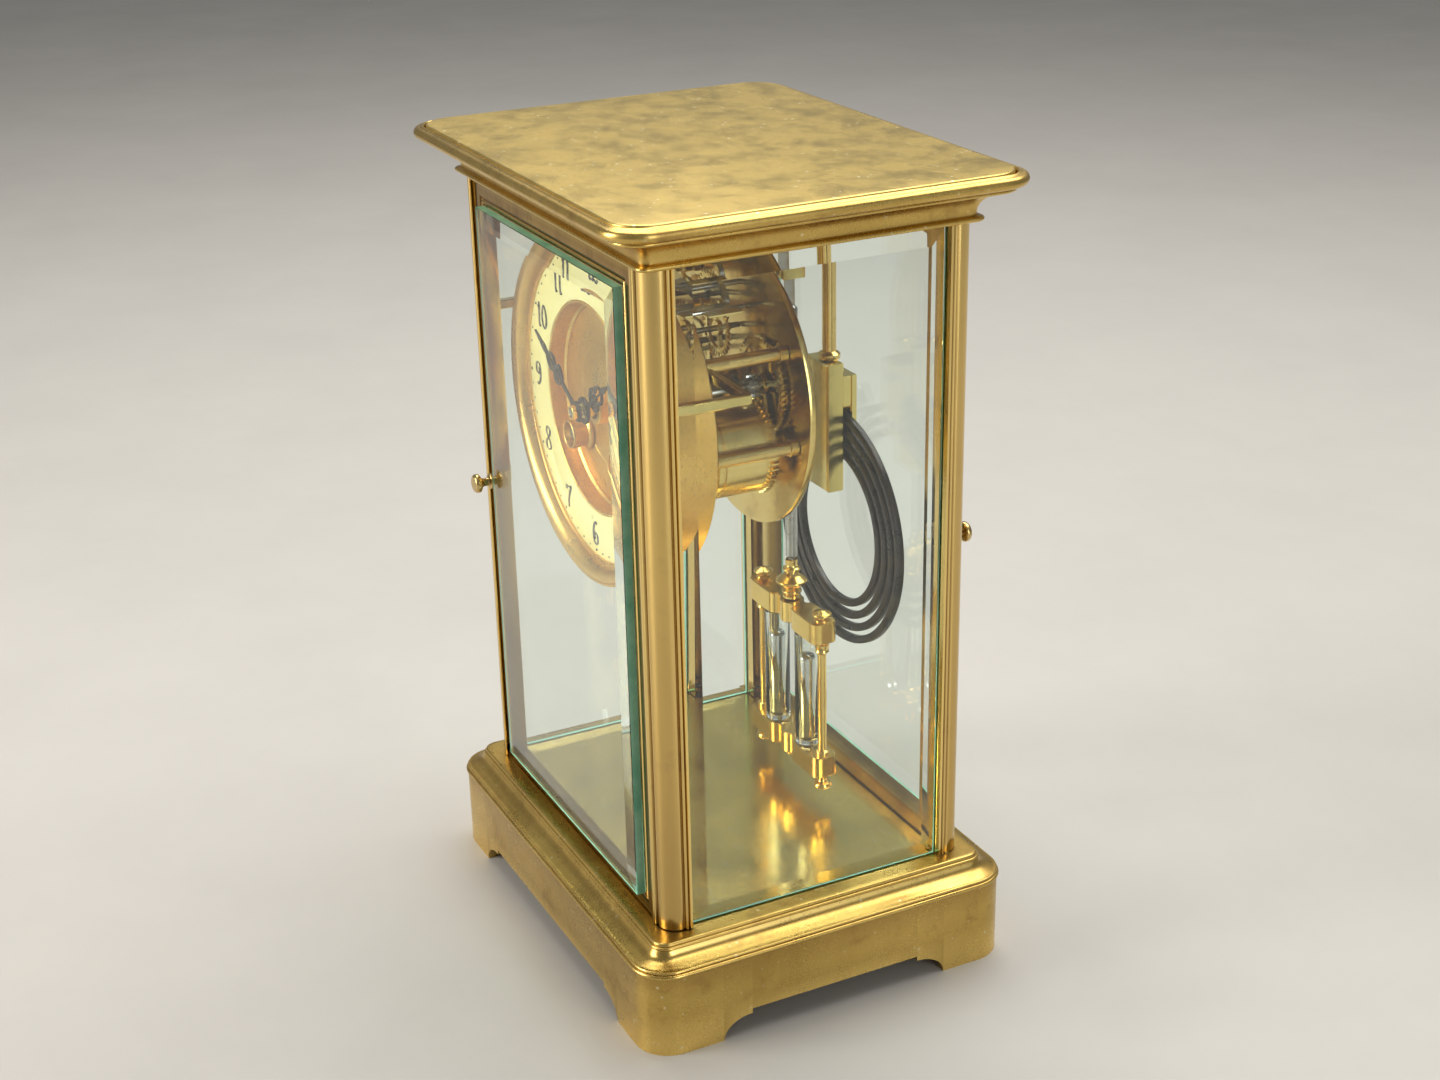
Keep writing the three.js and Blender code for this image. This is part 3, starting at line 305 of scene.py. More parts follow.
# ---------------------------------------------------------------- floor plate
# A thick brass sheet, mirror polished once, lies in the top of the base and is notched
# round the feet of the pillars. It is spotted, and scuffed along the way it was wiped.
def pulled_in(outline, amount):
    """Moves each corner of a closed outline, anticlockwise, inwards by `amount` along its
    mitre: the sum of the two edge normals over one plus their product."""
    edge = np.roll(outline, -1, 0) - outline
    edge = edge / np.linalg.norm(edge, axis=1, keepdims=True)
    normal = np.stack([-edge[:, 1], edge[:, 0]], 1)
    before = np.roll(normal, 1, 0)
    share = 1.0 + np.sum(before * normal, 1, keepdims=True)
    return outline + (before + normal) / np.maximum(share, 0.35) * amount


def slab(outline, start, end, ease=0.2, axis="y"):
    """A flat piece with that outline from `start` to `end` along the axis, its edges eased
    off by `ease` all round."""
    outline = np.asarray(outline, float)
    following = np.roll(outline, -1, 0)
    if np.sum(outline[:, 0] * following[:, 1] - following[:, 0] * outline[:, 1]) < 0:
        outline = outline[::-1]
    tight = pulled_in(outline, ease)
    rows = []
    for ring, level in ((tight, start), (outline, start + ease), (outline, end - ease),
                        (tight, end)):
        height = np.full(len(ring), level)
        rows.append(np.column_stack([ring, height]) if axis == "z" else
                    np.column_stack([height, ring]) if axis == "x" else
                    np.column_stack([ring[:, 0], height, ring[:, 1]]))
    return shell(rows, caps=True)


def oblong(x0, x1, z0, z1):
    return np.array([[x0, z0], [x1, z0], [x1, z1], [x0, z1]], float)


low, high = corners("floor_plate")
NOTCH = (60.2, 43.8)
floor_quarter = np.array([[high[0], 0], [high[0], NOTCH[1]], NOTCH, [NOTCH[0], high[1]],
                          [0, high[1]]])
floor_outline = np.vstack([floor_quarter[:-1], floor_quarter[::-1][:-1] * [-1, 1],
                           -floor_quarter[:-1], floor_quarter[::-1][:-1] * [1, -1]])
made = Finish("polished_floor_brass")
mottle = made.noise(34.0, 8.0, 0.66, 0.3)
spots = made.texture("ShaderNodeTexVoronoi", 190.0, Randomness=1.0)
flecks = made.share(made.noise(620.0, 2.0), 0.60, 0.69, 0.0, 0.6)
tone = made.mix(made.share(mottle, 0.35, 0.66), (0.92, 0.73, 0.26), (0.76, 0.57, 0.17))
tone = made.mix(made.share(spots, 0.15, 0.05, 0.0, 0.5), tone, (0.40, 0.27, 0.10))
tone = made.mix(flecks, tone, (0.94, 0.88, 0.60))
wiped = made.noise(1.0, 4.0, 0.6, 0.0, (30.0, 900.0, 60.0))
floor_brass = made.finish(tone, made.share(mottle, 0.32, 0.70, 0.13, 0.27), wiped, 0.05)
piece("floor_sheet", [slab(floor_outline, low[2], high[2], 0.25, "z")], "case", floor_brass,
      ["floor_plate"])


# ---------------------------------------------------------------- corner pillars
# Four drawn brass bars, square inside, with a large quarter round on the outer corner
# between fine beads. Screws from below and above hold them; the metal has turned brown,
# its grooves are painted dark as shade and its rounds painted bright as highlight.
QUARTER_ROUND = arc((6.15, 6.15), 5.6, 180, 270, 22)
BEAD = arc((0.5, 7.62), 0.5, 112, 248, 9)
flank = np.vstack([[[0.0, 9.4], [0.0, 8.62], [0.42, 8.36]], BEAD, [[0.8, 6.95], [0.8, 6.55]]])
section = np.vstack([flank, QUARTER_ROUND, flank[::-1, ::-1], [[9.4, 0.0], [9.4, 9.4]]])
made = Finish("brown_pillar_brass")
run = made.noise(9.0, 6.0, 0.6, 0.2, (6.0, 6.0, 1.0))
grime = made.noise(60.0, 8.0, 0.68)
bend = made.tree.nodes.new("ShaderNodeNewGeometry").outputs["Pointiness"]
tone = made.mix(made.share(run, 0.34, 0.66), (0.47, 0.30, 0.085), (0.31, 0.18, 0.055))
tone = made.mix(made.share(grime, 0.55, 0.72, 0.0, 0.85), tone, (0.17, 0.085, 0.035))
# Painted highlight: convex rounds and beads turn bright gold. Painted shade: grooves and hollows turn
# almost black brown.
tone = made.mix(made.share(bend, 0.51, 0.58, 0.0, 0.95), tone, (0.93, 0.68, 0.25))
tone = made.mix(made.share(bend, 0.49, 0.44, 0.0, 0.8), tone, (0.13, 0.065, 0.035))
drawn = made.noise(1.0, 3.0, 0.6, 0.0, (900.0, 900.0, 9.0))
pillar_brass = made.finish(tone, made.share(grime, 0.32, 0.7, 0.12, 0.28), drawn, 0.06)
for place, sx, sy in (("front_left", -1, -1), ("front_right", 1, -1), ("back_left", -1, 1),
                      ("back_right", 1, 1)):
    low, high = corners(f"pillar_{place}")
    corner_x, corner_y = (69.9 * sx, 53.5 * sy)
    outline = np.array([corner_x, corner_y]) - section * [sx, sy]
    piece(f"corner_pillar_{place}", [slab(outline, low[2], high[2], 0.12, "z")], "case",
          pillar_brass, [f"pillar_{place}"], 40.0)


# ---------------------------------------------------------------- side glasses
# Plate glass, 3.4 thick, with a wide bevel ground round the outer face. It slides down
# between the pillars into the base, and its iron shows green where one looks along it.
GLASS_THICK, GLASS_RIM, BEVEL = 3.4, 2.3, 5.5


def clear_glass(name, ripple, tint=None, density=0.0):
    """Clear glass, slightly rippled, that lets lamps through instead of casting a dark
    shadow. With a `tint` it takes that colour with the length of the way through it."""
    made = Finish(name, 0.0)
    made.shader.inputs["Transmission Weight"].default_value = 1.0
    made.shader.inputs["IOR"].default_value = 1.5
    film = made.noise(55.0, 6.0, 0.65)
    tone = made.mix(made.share(film, 0.35, 0.7), (0.99, 1.0, 0.992), (0.96, 0.985, 0.97))
    waves = made.noise(26.0, 1.0, 0.4)
    made.finish(tone, made.share(film, 0.60, 0.78, 0.0, 0.03), waves, ripple, 0.002)
    tree = made.tree
    lamp_ray = tree.nodes.new("ShaderNodeLightPath").outputs["Is Shadow Ray"]
    through = tree.nodes.new("ShaderNodeBsdfTransparent")
    through.inputs["Color"].default_value = (0.95, 0.97, 0.96, 1.0)
    either = tree.nodes.new("ShaderNodeMixShader")
    tree.links.new(lamp_ray, either.inputs[0])
    tree.links.new(made.shader.outputs["BSDF"], either.inputs[1])
    tree.links.new(through.outputs["BSDF"], either.inputs[2])
    output = tree.nodes["Material Output"]
    tree.links.new(either.outputs["Shader"], output.inputs["Surface"])
    if tint:
        iron = tree.nodes.new("ShaderNodeVolumeAbsorption")
        iron.inputs["Color"].default_value = (*tint, 1.0)
        iron.inputs["Density"].default_value = density
        tree.links.new(iron.outputs["Volume"], output.inputs["Volume"])
    return made.material


def ground_edges(made, across):
    """Gives the narrow faces round a pane's rim, whose normals lie in its own plane, the
    green of a ground edge."""
    made.data.materials.append(ground_edge)
    normals = np.zeros(len(made.data.polygons) * 3, np.float32)
    made.data.polygons.foreach_get("normal", normals)
    out_of_plane = np.abs(normals.reshape(-1, 3)[:, 0 if across == "y" else 1])
    made.data.polygons.foreach_set("material_index", (out_of_plane < 0.3).astype(np.int32))
    made.data.update()


def pane(half_width, bottom, top, face, outward, across, rim):
    """A bevelled sheet, `rim` thick at its edge: rings [inset, depth] of an upright
    rectangle, where depth is measured from its outer face inwards. `across` is the
    direction its width runs in."""
    rings = []
    slope = GLASS_THICK - rim
    for inset, depth in ((BEVEL, 0.0), (0.15, slope), (0.0, slope + 0.15),
                         (0.0, GLASS_THICK - 0.15), (0.15, GLASS_THICK)):
        wide, base, head = half_width - inset, bottom + inset, top - inset
        side = np.array([-wide, wide, wide, -wide])
        height = np.array([base, base, head, head])
        level = np.full(4, face - outward * depth)
        rings.append(np.stack([level, side, height] if across == "y" else
                              [side, level, height], 1))
    return shell(rings, caps=True)


case_glass = clear_glass("bevelled_plate_glass", 0.012, (0.30, 0.88, 0.66), 15.0)
ground_edge = clouded("ground_glass_edge", 0.0, 120.0, 4.0, (0.3, 0.7), (0.16, 0.50, 0.36),
                      (0.34, 0.70, 0.55), (0.35, 0.6), 0.1)
for place, sx in (("left", -1), ("right", 1)):
    low, high = corners(f"side_glass_{place}")
    face = high[0] if sx > 0 else low[0]
    sheet = pane(high[1], low[2], high[2], face, sx, "y", GLASS_RIM)
    made = piece(f"side_pane_{place}", [sheet], "case", case_glass,
                 [f"side_glass_{place}"], 2.0)
    ground_edges(made, "y")


# ---------------------------------------------------------------- movement plates
# Two round plates of cast brass, lacquered, stand on four turned pillars that are riveted
# into the back plate and pinned in the front one. The pivot holes have small oil sinks.
def turned(profile, centre, axis="y", count=64, wrap=False):
    """A lathe shape: each [radius, place] of the profile swept round the axis through
    `centre`, which is (x, z) for an axis along Y and (x, y) for an upright one."""
    profile = np.asarray(profile, float)
    angle = np.linspace(0.0, 2.0 * np.pi, count, endpoint=False)
    first = centre[0] + profile[:, :1] * np.cos(angle)
    second = centre[1] + profile[:, :1] * np.sin(angle)
    along = np.repeat(profile[:, 1:], count, 1)
    return shell(np.stack([first, along, second] if axis == "y" else
                          [first, second, along], -1), wrap)


def slotted_screw(radius, centre, face, outward, height=0.9, turn=20.0):
    """A cheese-headed screw on a Y axis: a turned head in two halves either side of its
    slot, standing `height` proud of `face`."""
    angle = np.radians(np.linspace(-78, 78, 13))
    half = np.stack([np.cos(angle), np.sin(angle)], 1) * radius
    half[:, 0] = np.maximum(half[:, 0], radius * 0.16)
    twist = np.array([[math.cos(math.radians(turn)), -math.sin(math.radians(turn))],
                      [math.sin(math.radians(turn)), math.cos(math.radians(turn))]])
    ends = sorted((face, face + outward * height))
    floor_ends = sorted((face, face + outward * height * 0.35))
    disc = arc((0, 0), radius * 0.97, 0, 345, 24)
    return [slab(half @ twist.T + centre, *ends, 0.12), slab(-half @ twist.T + centre, *ends, 0.12),
            slab(disc + centre, *floor_ends, 0.05)]


low, high = corners("front_plate")
DIAL_Z = (low[2] + high[2]) / 2
PLATE_RADIUS = high[0]
FRONT_PLATE = (low[1], high[1])
BACK_PLATE = tuple(corner[1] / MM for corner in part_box("back_plate"))
# The edges of the movement parts are painted a little brighter as highlight, and their hollows a little
# darker as shade.
movement_brass = brass("lacquered_movement_brass", (0.92, 0.67, 0.24), (0.82, 0.56, 0.17),
                       (0.50, 0.31, 0.10), (0.12, 0.25), 30.0, (900.0, 12.0, 900.0), 0.15, 0.3)
made = Finish("bright_steel")
haze = made.noise(70.0, 6.0, 0.65)
tone = made.mix(made.share(haze, 0.35, 0.68), (0.60, 0.59, 0.57), (0.42, 0.40, 0.37))
ground = made.noise(1.0, 3.0, 0.6, 0.0, (900.0, 30.0, 900.0))
bright_steel = made.finish(tone, made.share(haze, 0.3, 0.7, 0.14, 0.32), ground, 0.06)


def axis_at(offset):
    """(x, z) of a movement axis stated from the hands' axis."""
    return np.array([offset[0], DIAL_Z + offset[1]])


CENTRE, GOING, STRIKE = (0.0, 0.0), (17.0, -13.5), (-17.0, -13.5)
SECOND, THIRD, ESCAPE, MINUTE = (17.23, 5.22), (-13.8, 11.57), (0.0, 19.67), (0.0, 12.0)
ANCHOR = (0.0, 33.5)
for name, (start, end), outward in (("front_plate", FRONT_PLATE, -1),
                                    ("back_plate", BACK_PLATE, 1)):
    rim = [[0.0, start], [PLATE_RADIUS - 0.5, start], [PLATE_RADIUS - 0.12, start + 0.12],
           [PLATE_RADIUS, start + 0.5], [PLATE_RADIUS, end - 0.5],
           [PLATE_RADIUS - 0.12, end - 0.12], [PLATE_RADIUS - 0.5, end], [0.0, end]]
    shells = [turned(rim, axis_at(CENTRE), count=120)]
    face = end if outward > 0 else start
    for place in (SECOND, THIRD, ESCAPE, (-22.0, 8.0), (8.0, -25.0), (-4.0, -14.0)):
        sink = [[0.5, face], [1.5, face + outward * 0.02], [1.7, face + outward * 0.12],
                [1.9, face + outward * 0.12], [2.0, face], [0.5, face]]
        shells.append(turned(sink, axis_at(place), count=20))
    piece(f"round_{name}", shells, "case", movement_brass, [name])

PLATE_PILLARS = {"upper_left": (-30, 18.5), "upper_right": (30, 18.5),
                 "lower_left": (-36.4, -9.5), "lower_right": (36.4, -9.5)}
shells, screws = [], []
for place, (x, z) in PLATE_PILLARS.items():
    low, high = corners(f"plate_pillar_{place}")
    start, end = low[1], high[1]
    profile = np.vstack([[[0, start], [2.9, start], [3.0, start + 0.1], [3.0, start + 1.7]],
                         arc((2.55, start + 2.3), 0.3, -60, 90, 5), [[2.2, start + 3.0]],
                         [[2.3, (start + end) / 2]], [[2.2, end - 3.0]],
                         arc((2.45, end - 2.5), 0.3, -90, 60, 5),
                         [[2.6, end - 1.8], [2.6, end - 0.1], [2.5, end], [0, end]]])
    shells.append(turned(profile, axis_at((x, z)), count=32))
    screws += slotted_screw(2.3, axis_at((x, z)), BACK_PLATE[1], 1, 0.8, 15.0 + x)
piece("plate_pillars", shells, "case", movement_brass,
      [f"plate_pillar_{place}" for place in PLATE_PILLARS])
piece("plate_screws", screws, "case", bright_steel)


# ---------------------------------------------------------------- movement straps
# Two bent brass straps are screwed behind the front plate and to the backs of the front
# pillars. They carry the whole movement between them.
strap_shells, strap_screws = [], []
for side, sx in (("left", -1), ("right", 1)):
    low, high = corners(f"movement_bracket_{side}")
    inner_x, outer_x = (low[0], high[0]) if sx > 0 else (high[0], low[0])
    behind, forward = high[1], low[1]
    bent = np.array([[inner_x, behind - 2.5], [outer_x - sx * 3.0, behind - 2.5],
                     [outer_x - sx * 3.0, forward], [outer_x, forward],
                     [outer_x, behind - 1.6], [outer_x - sx * 0.5, behind - 0.5],
                     [outer_x - sx * 1.6, behind], [inner_x, behind]])
    strap_shells.append(slab(bent, low[2] + 1.0, high[2] - 1.0, 0.3, "z"))
    strap_screws += slotted_screw(1.2, (inner_x + sx * 2.4, (low[2] + high[2]) / 2), behind, 1,
                                  0.8, 35.0)
piece("movement_straps", strap_shells, "case", movement_brass,
      ["movement_bracket_left", "movement_bracket_right"])
piece("strap_screws", strap_screws, "case", bright_steel)


# ---------------------------------------------------------------- barrels and arbors
# Each spring barrel is a turned drum with its great wheel cut on the back rim. The steel
# winding arbor runs through it, with a key square in front and a ratchet below the dial.
def toothed(teeth, pitch, phase, addendum=0.8, dedendum=1.2):
    """Outline of a toothed wheel: over each tooth the radius rises from the root, 0.24 of a
    pitch off the tooth's middle, through the pitch circle at 0.15 to the tip at 0.07, and
    falls the same way."""
    module = 2.0 * pitch / teeth
    root, tip = pitch - dedendum * module, pitch + addendum * module
    offset = np.array([-0.24, -0.15, -0.07, 0.07, 0.15, 0.24])
    reach = np.array([root, pitch + 0.1 * module, tip, tip, pitch + 0.1 * module, root])
    angle = (phase + 2.0 * np.pi * (np.arange(teeth)[:, None] + offset) / teeth).ravel()
    reach = np.tile(reach, teeth)
    return np.stack([reach * np.cos(angle), reach * np.sin(angle)], 1)


def toothed_ring(outline, bore, centre, start, end, ease=0.08):
    """A flat ring from a round bore out to that outline, between two places on Y."""
    angle = np.arctan2(outline[:, 1], outline[:, 0])
    circle = np.stack([np.cos(angle), np.sin(angle)], 1) * bore
    tight = outline * (1.0 - ease / np.linalg.norm(outline, axis=1, keepdims=True))
    rows = [np.column_stack([ring[:, 0] + centre[0], np.full(len(ring), level),
                             ring[:, 1] + centre[1]])
            for ring, level in ((circle, start), (tight, start), (outline, start + ease),
                                (outline, end - ease), (tight, end), (circle, end))]
    return shell(rows, wrap=True)


def crossed_wheel(outline, centre, start, end, hub, rim, spokes=4, spoke=0.8):
    """A wheel with its crossings cut out: toothed rim, straight spokes and a round hub."""
    shells = [toothed_ring(outline, rim, centre, start, end),
              turned([[0.3, start - 0.3], [hub - 0.15, start - 0.3], [hub, start - 0.15],
                      [hub, end + 0.15], [hub - 0.15, end + 0.3], [0.3, end + 0.3],
                      [0.3, start - 0.3]], centre, count=24)]
    for turn in np.arange(spokes) * 2.0 * np.pi / spokes + 0.3:
        way, aside = np.array([np.cos(turn), np.sin(turn)]), np.array([-np.sin(turn), np.cos(turn)])
        bar = np.array([way * hub * 0.8 - aside * spoke * 1.2, way * (rim + 0.3) - aside * spoke,
                        way * (rim + 0.3) + aside * spoke, way * hub * 0.8 + aside * spoke * 1.2])
        shells.append(slab(bar + centre, start + 0.03, end - 0.03, 0.06))
    return shells


def pitch_radii(first, second, first_teeth, second_teeth):
    """The centre distance shared out in proportion to the two tooth counts."""
    span = math.dist(first, second)
    whole = first_teeth + second_teeth
    return span * first_teeth / whole, span * second_teeth / whole


def mesh_phase(first, second, first_radius, second_radius, first_phase, second_teeth):
    """The tooth angle that puts a gap of the second wheel against a tooth of the first."""
    line = math.atan2(second[1] - first[1], second[0] - first[0])
    half_pitch = math.pi * second_radius / second_teeth
    return line + math.pi - (first_radius * (first_phase - line) + half_pitch) / second_radius


GREAT_TEETH, SECOND_TEETH, LEAVES = 50, 50, 10
great_radius, second_pinion = pitch_radii(GOING, SECOND, GREAT_TEETH, LEAVES)
for name, offset in (("going", GOING), ("strike", STRIKE)):
    spot = axis_at(offset)
    drum = np.vstack([[[2.5, -13.4], [12.8, -13.4], [13.1, -14.0], [14.6, -14.0]],
                      [[15.1, -13.5], [15.1, -12.0], [14.85, -11.8], [14.85, -11.3]],
                      [[15.1, -11.1], [15.1, 2.6], [14.8, 2.9], [14.8, 3.9]],
                      [[2.5, 3.9], [2.5, -13.4]]])
    rim = toothed_ring(toothed(GREAT_TEETH, great_radius, 0.0), 12.0, spot, 3.8, 6.4)
    cover = [[2.5, 5.9], [5.0, 5.9], [5.3, 5.5], [12.2, 5.5], [12.2, 4.2], [2.5, 4.2], [2.5, 5.9]]
    piece(f"{name}_spring_barrel", [turned(drum, spot, count=96), rim, turned(cover, spot)],
          f"{name}_barrel", movement_brass, [f"{name}_barrel"])
    low, high = corners(f"{name}_arbor")
    shaft = [[0, -30.0], [2.0, -30.0], [2.2, -29.8], [2.2, high[1] - 0.4], [1.8, high[1]],
             [0, high[1]]]
    ratchet_angle = np.repeat(np.arange(18) * np.pi / 9, 2)
    saw = np.stack([np.cos(ratchet_angle), np.sin(ratchet_angle)], 1)
    saw *= np.tile([5.3, 6.4], 18)[:, None]
    square = oblong(-1.5, 1.5, -1.5, 1.5)
    piece(f"{name}_winding_arbor",
          [turned(shaft, spot, count=24), slab(square + spot, low[1], -29.9, 0.35),
           slab(saw + spot, -25.6, -24.2, 0.1)],
          f"{name}_arbor", bright_steel, [f"{name}_arbor"])


# ---------------------------------------------------------------- going train
# Crossed brass wheels on steel arbors lead from the barrel to the escape wheel: second
# wheel, centre wheel with the cannon pinion in front, third wheel and escape wheel.
PIVOT = 0.55
ARBOR_ENDS = (FRONT_PLATE[1] + 0.3, BACK_PLATE[0] - 0.3)


def arbor(centre, radius, front=None):
    """A turned steel arbor with a fine shouldered pivot in each plate."""
    start, end = ARBOR_ENDS
    nose = ([[0, front], [radius - 0.2, front], [radius, front + 0.3]] if front else
            [[0, FRONT_PLATE[0] + 0.4], [PIVOT, FRONT_PLATE[0] + 0.4], [PIVOT, start],
             [radius - 0.2, start], [radius, start + 0.3]])
    return turned(nose + [[radius, end - 0.3], [radius - 0.2, end], [PIVOT, end],
                          [PIVOT, BACK_PLATE[1] - 0.4], [0, BACK_PLATE[1] - 0.4]],
                  centre, count=20)


TRAIN_TEETH, SMALL_LEAVES, MINUTE_TEETH, ESCAPE_TEETH = 42, 7, 30, 30
second_phase = mesh_phase(GOING, SECOND, great_radius, second_pinion, 0.0, LEAVES)
second_radius, centre_pinion = pitch_radii(SECOND, CENTRE, SECOND_TEETH, LEAVES)
centre_phase = mesh_phase(SECOND, CENTRE, second_radius, centre_pinion, 0.0, LEAVES)
centre_radius, third_pinion = pitch_radii(CENTRE, THIRD, TRAIN_TEETH, SMALL_LEAVES)
third_phase = mesh_phase(CENTRE, THIRD, centre_radius, third_pinion, 0.0, SMALL_LEAVES)
cannon_radius, minute_radius = pitch_radii(CENTRE, MINUTE, LEAVES, MINUTE_TEETH)
third_radius, escape_pinion = pitch_radii(THIRD, ESCAPE, TRAIN_TEETH, SMALL_LEAVES)
escape_phase = mesh_phase(THIRD, ESCAPE, third_radius, escape_pinion, 0.0, SMALL_LEAVES)
escape_teeth = np.arange(ESCAPE_TEETH) * 2.0 * np.pi / ESCAPE_TEETH
escape_reach = np.tile([7.3, 7.6, 9.0, 8.9], ESCAPE_TEETH)
escape_angle = (escape_teeth[:, None] + np.array([-0.15, -0.07, 0.0, 0.02])).ravel()
escape_outline = np.stack([np.cos(escape_angle), np.sin(escape_angle)], 1) * escape_reach[:, None]
for body, offset, wheels, leaves, thick in (
        ("second_wheel", SECOND, [(toothed(SECOND_TEETH, second_radius, 0.0), 8.0, 9.2, 3.4, 12.6)],
         [(toothed(LEAVES, second_pinion, second_phase), 3.2, 7.0)], 1.2),
        ("third_wheel", THIRD, [(toothed(TRAIN_TEETH, third_radius, 0.0), -16.9, -15.9, 3.0, 11.4)],
         [(toothed(SMALL_LEAVES, third_pinion, third_phase), -20.0, -17.7)], 1.0),
        ("escape_wheel", ESCAPE, [(escape_outline, 2.0, 3.0, 2.6, 6.4)],
         [(toothed(SMALL_LEAVES, escape_pinion, escape_phase), -17.8, -15.0)], 0.9),
        ("centre_wheel", CENTRE, [(toothed(TRAIN_TEETH, centre_radius, 0.0), -19.4, -18.3, 3.4, 12.8)],
         [(toothed(LEAVES, centre_pinion, centre_phase), 7.6, 9.6),
          (toothed(LEAVES, cannon_radius, 0.0), -27.0, -25.1)], 1.2)):
    spot = axis_at(offset)
    rider = "minute_arbor" if body == "centre_wheel" else body
    brass_shells = [part for outline, start, end, hub, rim in wheels
                    for part in crossed_wheel(outline, spot, start, end, hub, rim)]
    piece(f"{body}_crossed", brass_shells, rider, movement_brass, [body])
    steel_shells = [toothed_ring(outline, 0.4, spot, start, end) for outline, start, end in leaves]
    front = -45.6 if body == "centre_wheel" else None
    piece(f"{body}_arbor", [arbor(spot, thick, front)] + steel_shells, rider, bright_steel)


# ---------------------------------------------------------------- strike train
# The strike side has its own wheels between the plates, planted to the left, and a thin
# two-bladed fly at the top that slows the blows. They stand still, locked.
strike_shells, strike_steel = [], []
for offset, teeth, radius, start, hub, rim in (
        ((-27.5, 4.0), 60, 10.6, 8.0, 3.0, 8.4), ((-10.5, 27.5), 54, 8.2, -6.0, 2.4, 6.6)):
    spot = axis_at(offset)
    strike_shells += crossed_wheel(toothed(teeth, radius, 0.1), spot, start, start + 1.0, hub, rim)
    strike_steel.append(arbor(spot, 0.9))
fly_spot = axis_at((14.0, 30.0))
strike_steel.append(arbor(fly_spot, 0.7))
strike_shells.append(slab(oblong(-5.5, 5.5, -0.25, 0.25) + fly_spot, -10.0, 2.0, 0.1))
piece("strike_wheels", strike_shells, "case", movement_brass)
piece("strike_arbors", strike_steel, "case", bright_steel)


# ---------------------------------------------------------------- escapement
# A steel anchor spans the escape wheel. Its arbor passes the back plate and carries the
# crutch, whose fork holds the pendulum rod.
anchor_half = np.array([[0, 2.5], [1.8, 1.9], [4.4, 0.6], [6.6, -1.9], [7.6, -4.2], [7.8, -6.1],
                        [6.4, -6.3], [6.1, -4.6], [5.2, -3.1], [3.0, -2.1], [0, -1.9]])
anchor_outline = np.vstack([anchor_half, anchor_half[::-1][1:-1] * [-1, 1]])
spot = axis_at(ANCHOR)
low, high = corners("anchor")
fork_z = low[2] + 1.0
crutch = np.array([[-0.9, 2.0], [-0.7, 2.6], [0.7, 2.6], [0.9, 2.0], [0.75, -12.0],
                   [0.9, fork_z - spot[1] + 2.0], [3.4, fork_z - spot[1] + 1.0],
                   [3.4, fork_z - spot[1] - 1.0], [-3.4, fork_z - spot[1] - 1.0],
                   [-3.4, fork_z - spot[1] + 1.0], [-0.9, fork_z - spot[1] + 2.0],
                   [-0.75, -12.0]])
prongs = [slab(oblong(side * 2.9 - 0.5, side * 2.9 + 0.5, fork_z - 1.0, fork_z + 1.0),
               21.2, high[1], 0.15) for side in (-1, 1)]
verge = turned([[0, FRONT_PLATE[0] + 0.4], [PIVOT, FRONT_PLATE[0] + 0.4], [PIVOT, ARBOR_ENDS[0]],
                [0.9, ARBOR_ENDS[0]], [0.9, 22.5], [0, 22.5]], spot, count=20)
piece("anchor_and_crutch",
      [slab(anchor_outline + spot, 1.6, 3.4, 0.2), slab(crutch + spot, 21.0, 22.5, 0.2), verge,
       *prongs], "anchor", bright_steel, ["anchor"])


# ---------------------------------------------------------------- suspension cock
# A brass block screwed to the back plate holds the head of the suspension spring in a
# slot, clear of the crutch below it.
low, high = corners("suspension_cock")
PENDULUM_Y, PIVOT_Z = 28.0, DIAL_Z + ANCHOR[1]
cheeks = [slab(oblong(side * 2.15 - 1.35, side * 2.15 + 1.35, low[2], PIVOT_Z + 3.0),
               PENDULUM_Y - 4.0, PENDULUM_Y + 4.0, 0.3) for side in (-1, 1)]
cock_shells = [slab(oblong(-7, 7, PIVOT_Z + 4, PIVOT_Z + 10), low[1], low[1] + 2.0, 0.4),
               slab(oblong(-3.5, 3.5, PIVOT_Z + 3, PIVOT_Z + 8), low[1], high[1], 0.4)] + cheeks
piece("spring_cock", cock_shells, "case", movement_brass, ["suspension_cock"])
cock_screws = [part for x in (-5.2, 5.2)
               for part in slotted_screw(1.4, (x, PIVOT_Z + 7.0), low[1] + 2.0, 1, 0.8, x * 9)]
piece("cock_screws", cock_screws, "case", bright_steel)


# ---------------------------------------------------------------- dial
# A fire-gilt bezel frames a cream enamel ring. Inside it lies a sunken gilt disc with a
# centre boss, and two turned tubes lead the key down to the winding squares.
made = Finish("fire_gilt_dial")
cloud = made.noise(40.0, 6.0, 0.6, 0.4)
fine = made.noise(800.0, 3.0)
tone = made.mix(made.share(cloud, 0.34, 0.68), (0.96, 0.61, 0.17), (0.82, 0.47, 0.11))
tone = made.mix(made.share(fine, 0.55, 0.75, 0.0, 0.45), tone, (0.55, 0.32, 0.10))
dial_gilt = made.finish(tone, made.share(cloud, 0.3, 0.7, 0.22, 0.36), fine, 0.10)
low, high = corners("dial_bezel")
spot = axis_at(CENTRE)
bezel_profile = np.vstack([
    [[48.75, -37.3], [48.75, -39.0]], arc((49.2, -39.1), 0.45, 180, 280, 6),
    [[49.5, -39.6], [49.7, -40.2]], arc((53.3, -39.2), 3.9, 195, 268, 14),
    [[53.7, -43.15], [53.95, -42.7]], arc((54.55, -42.3), 0.6, 200, 370, 9),
    [[54.9, -41.6], [54.3, -40.6], [53.9, -37.5], [53.4, -24.9], [53.0, -24.5], [52.3, -24.5],
     [52.0, -24.9], [52.0, -37.3], [48.75, -37.3]]])
piece("gilt_bezel", [turned(bezel_profile, spot, count=160)], "case", dial_gilt,
      ["dial_bezel"])

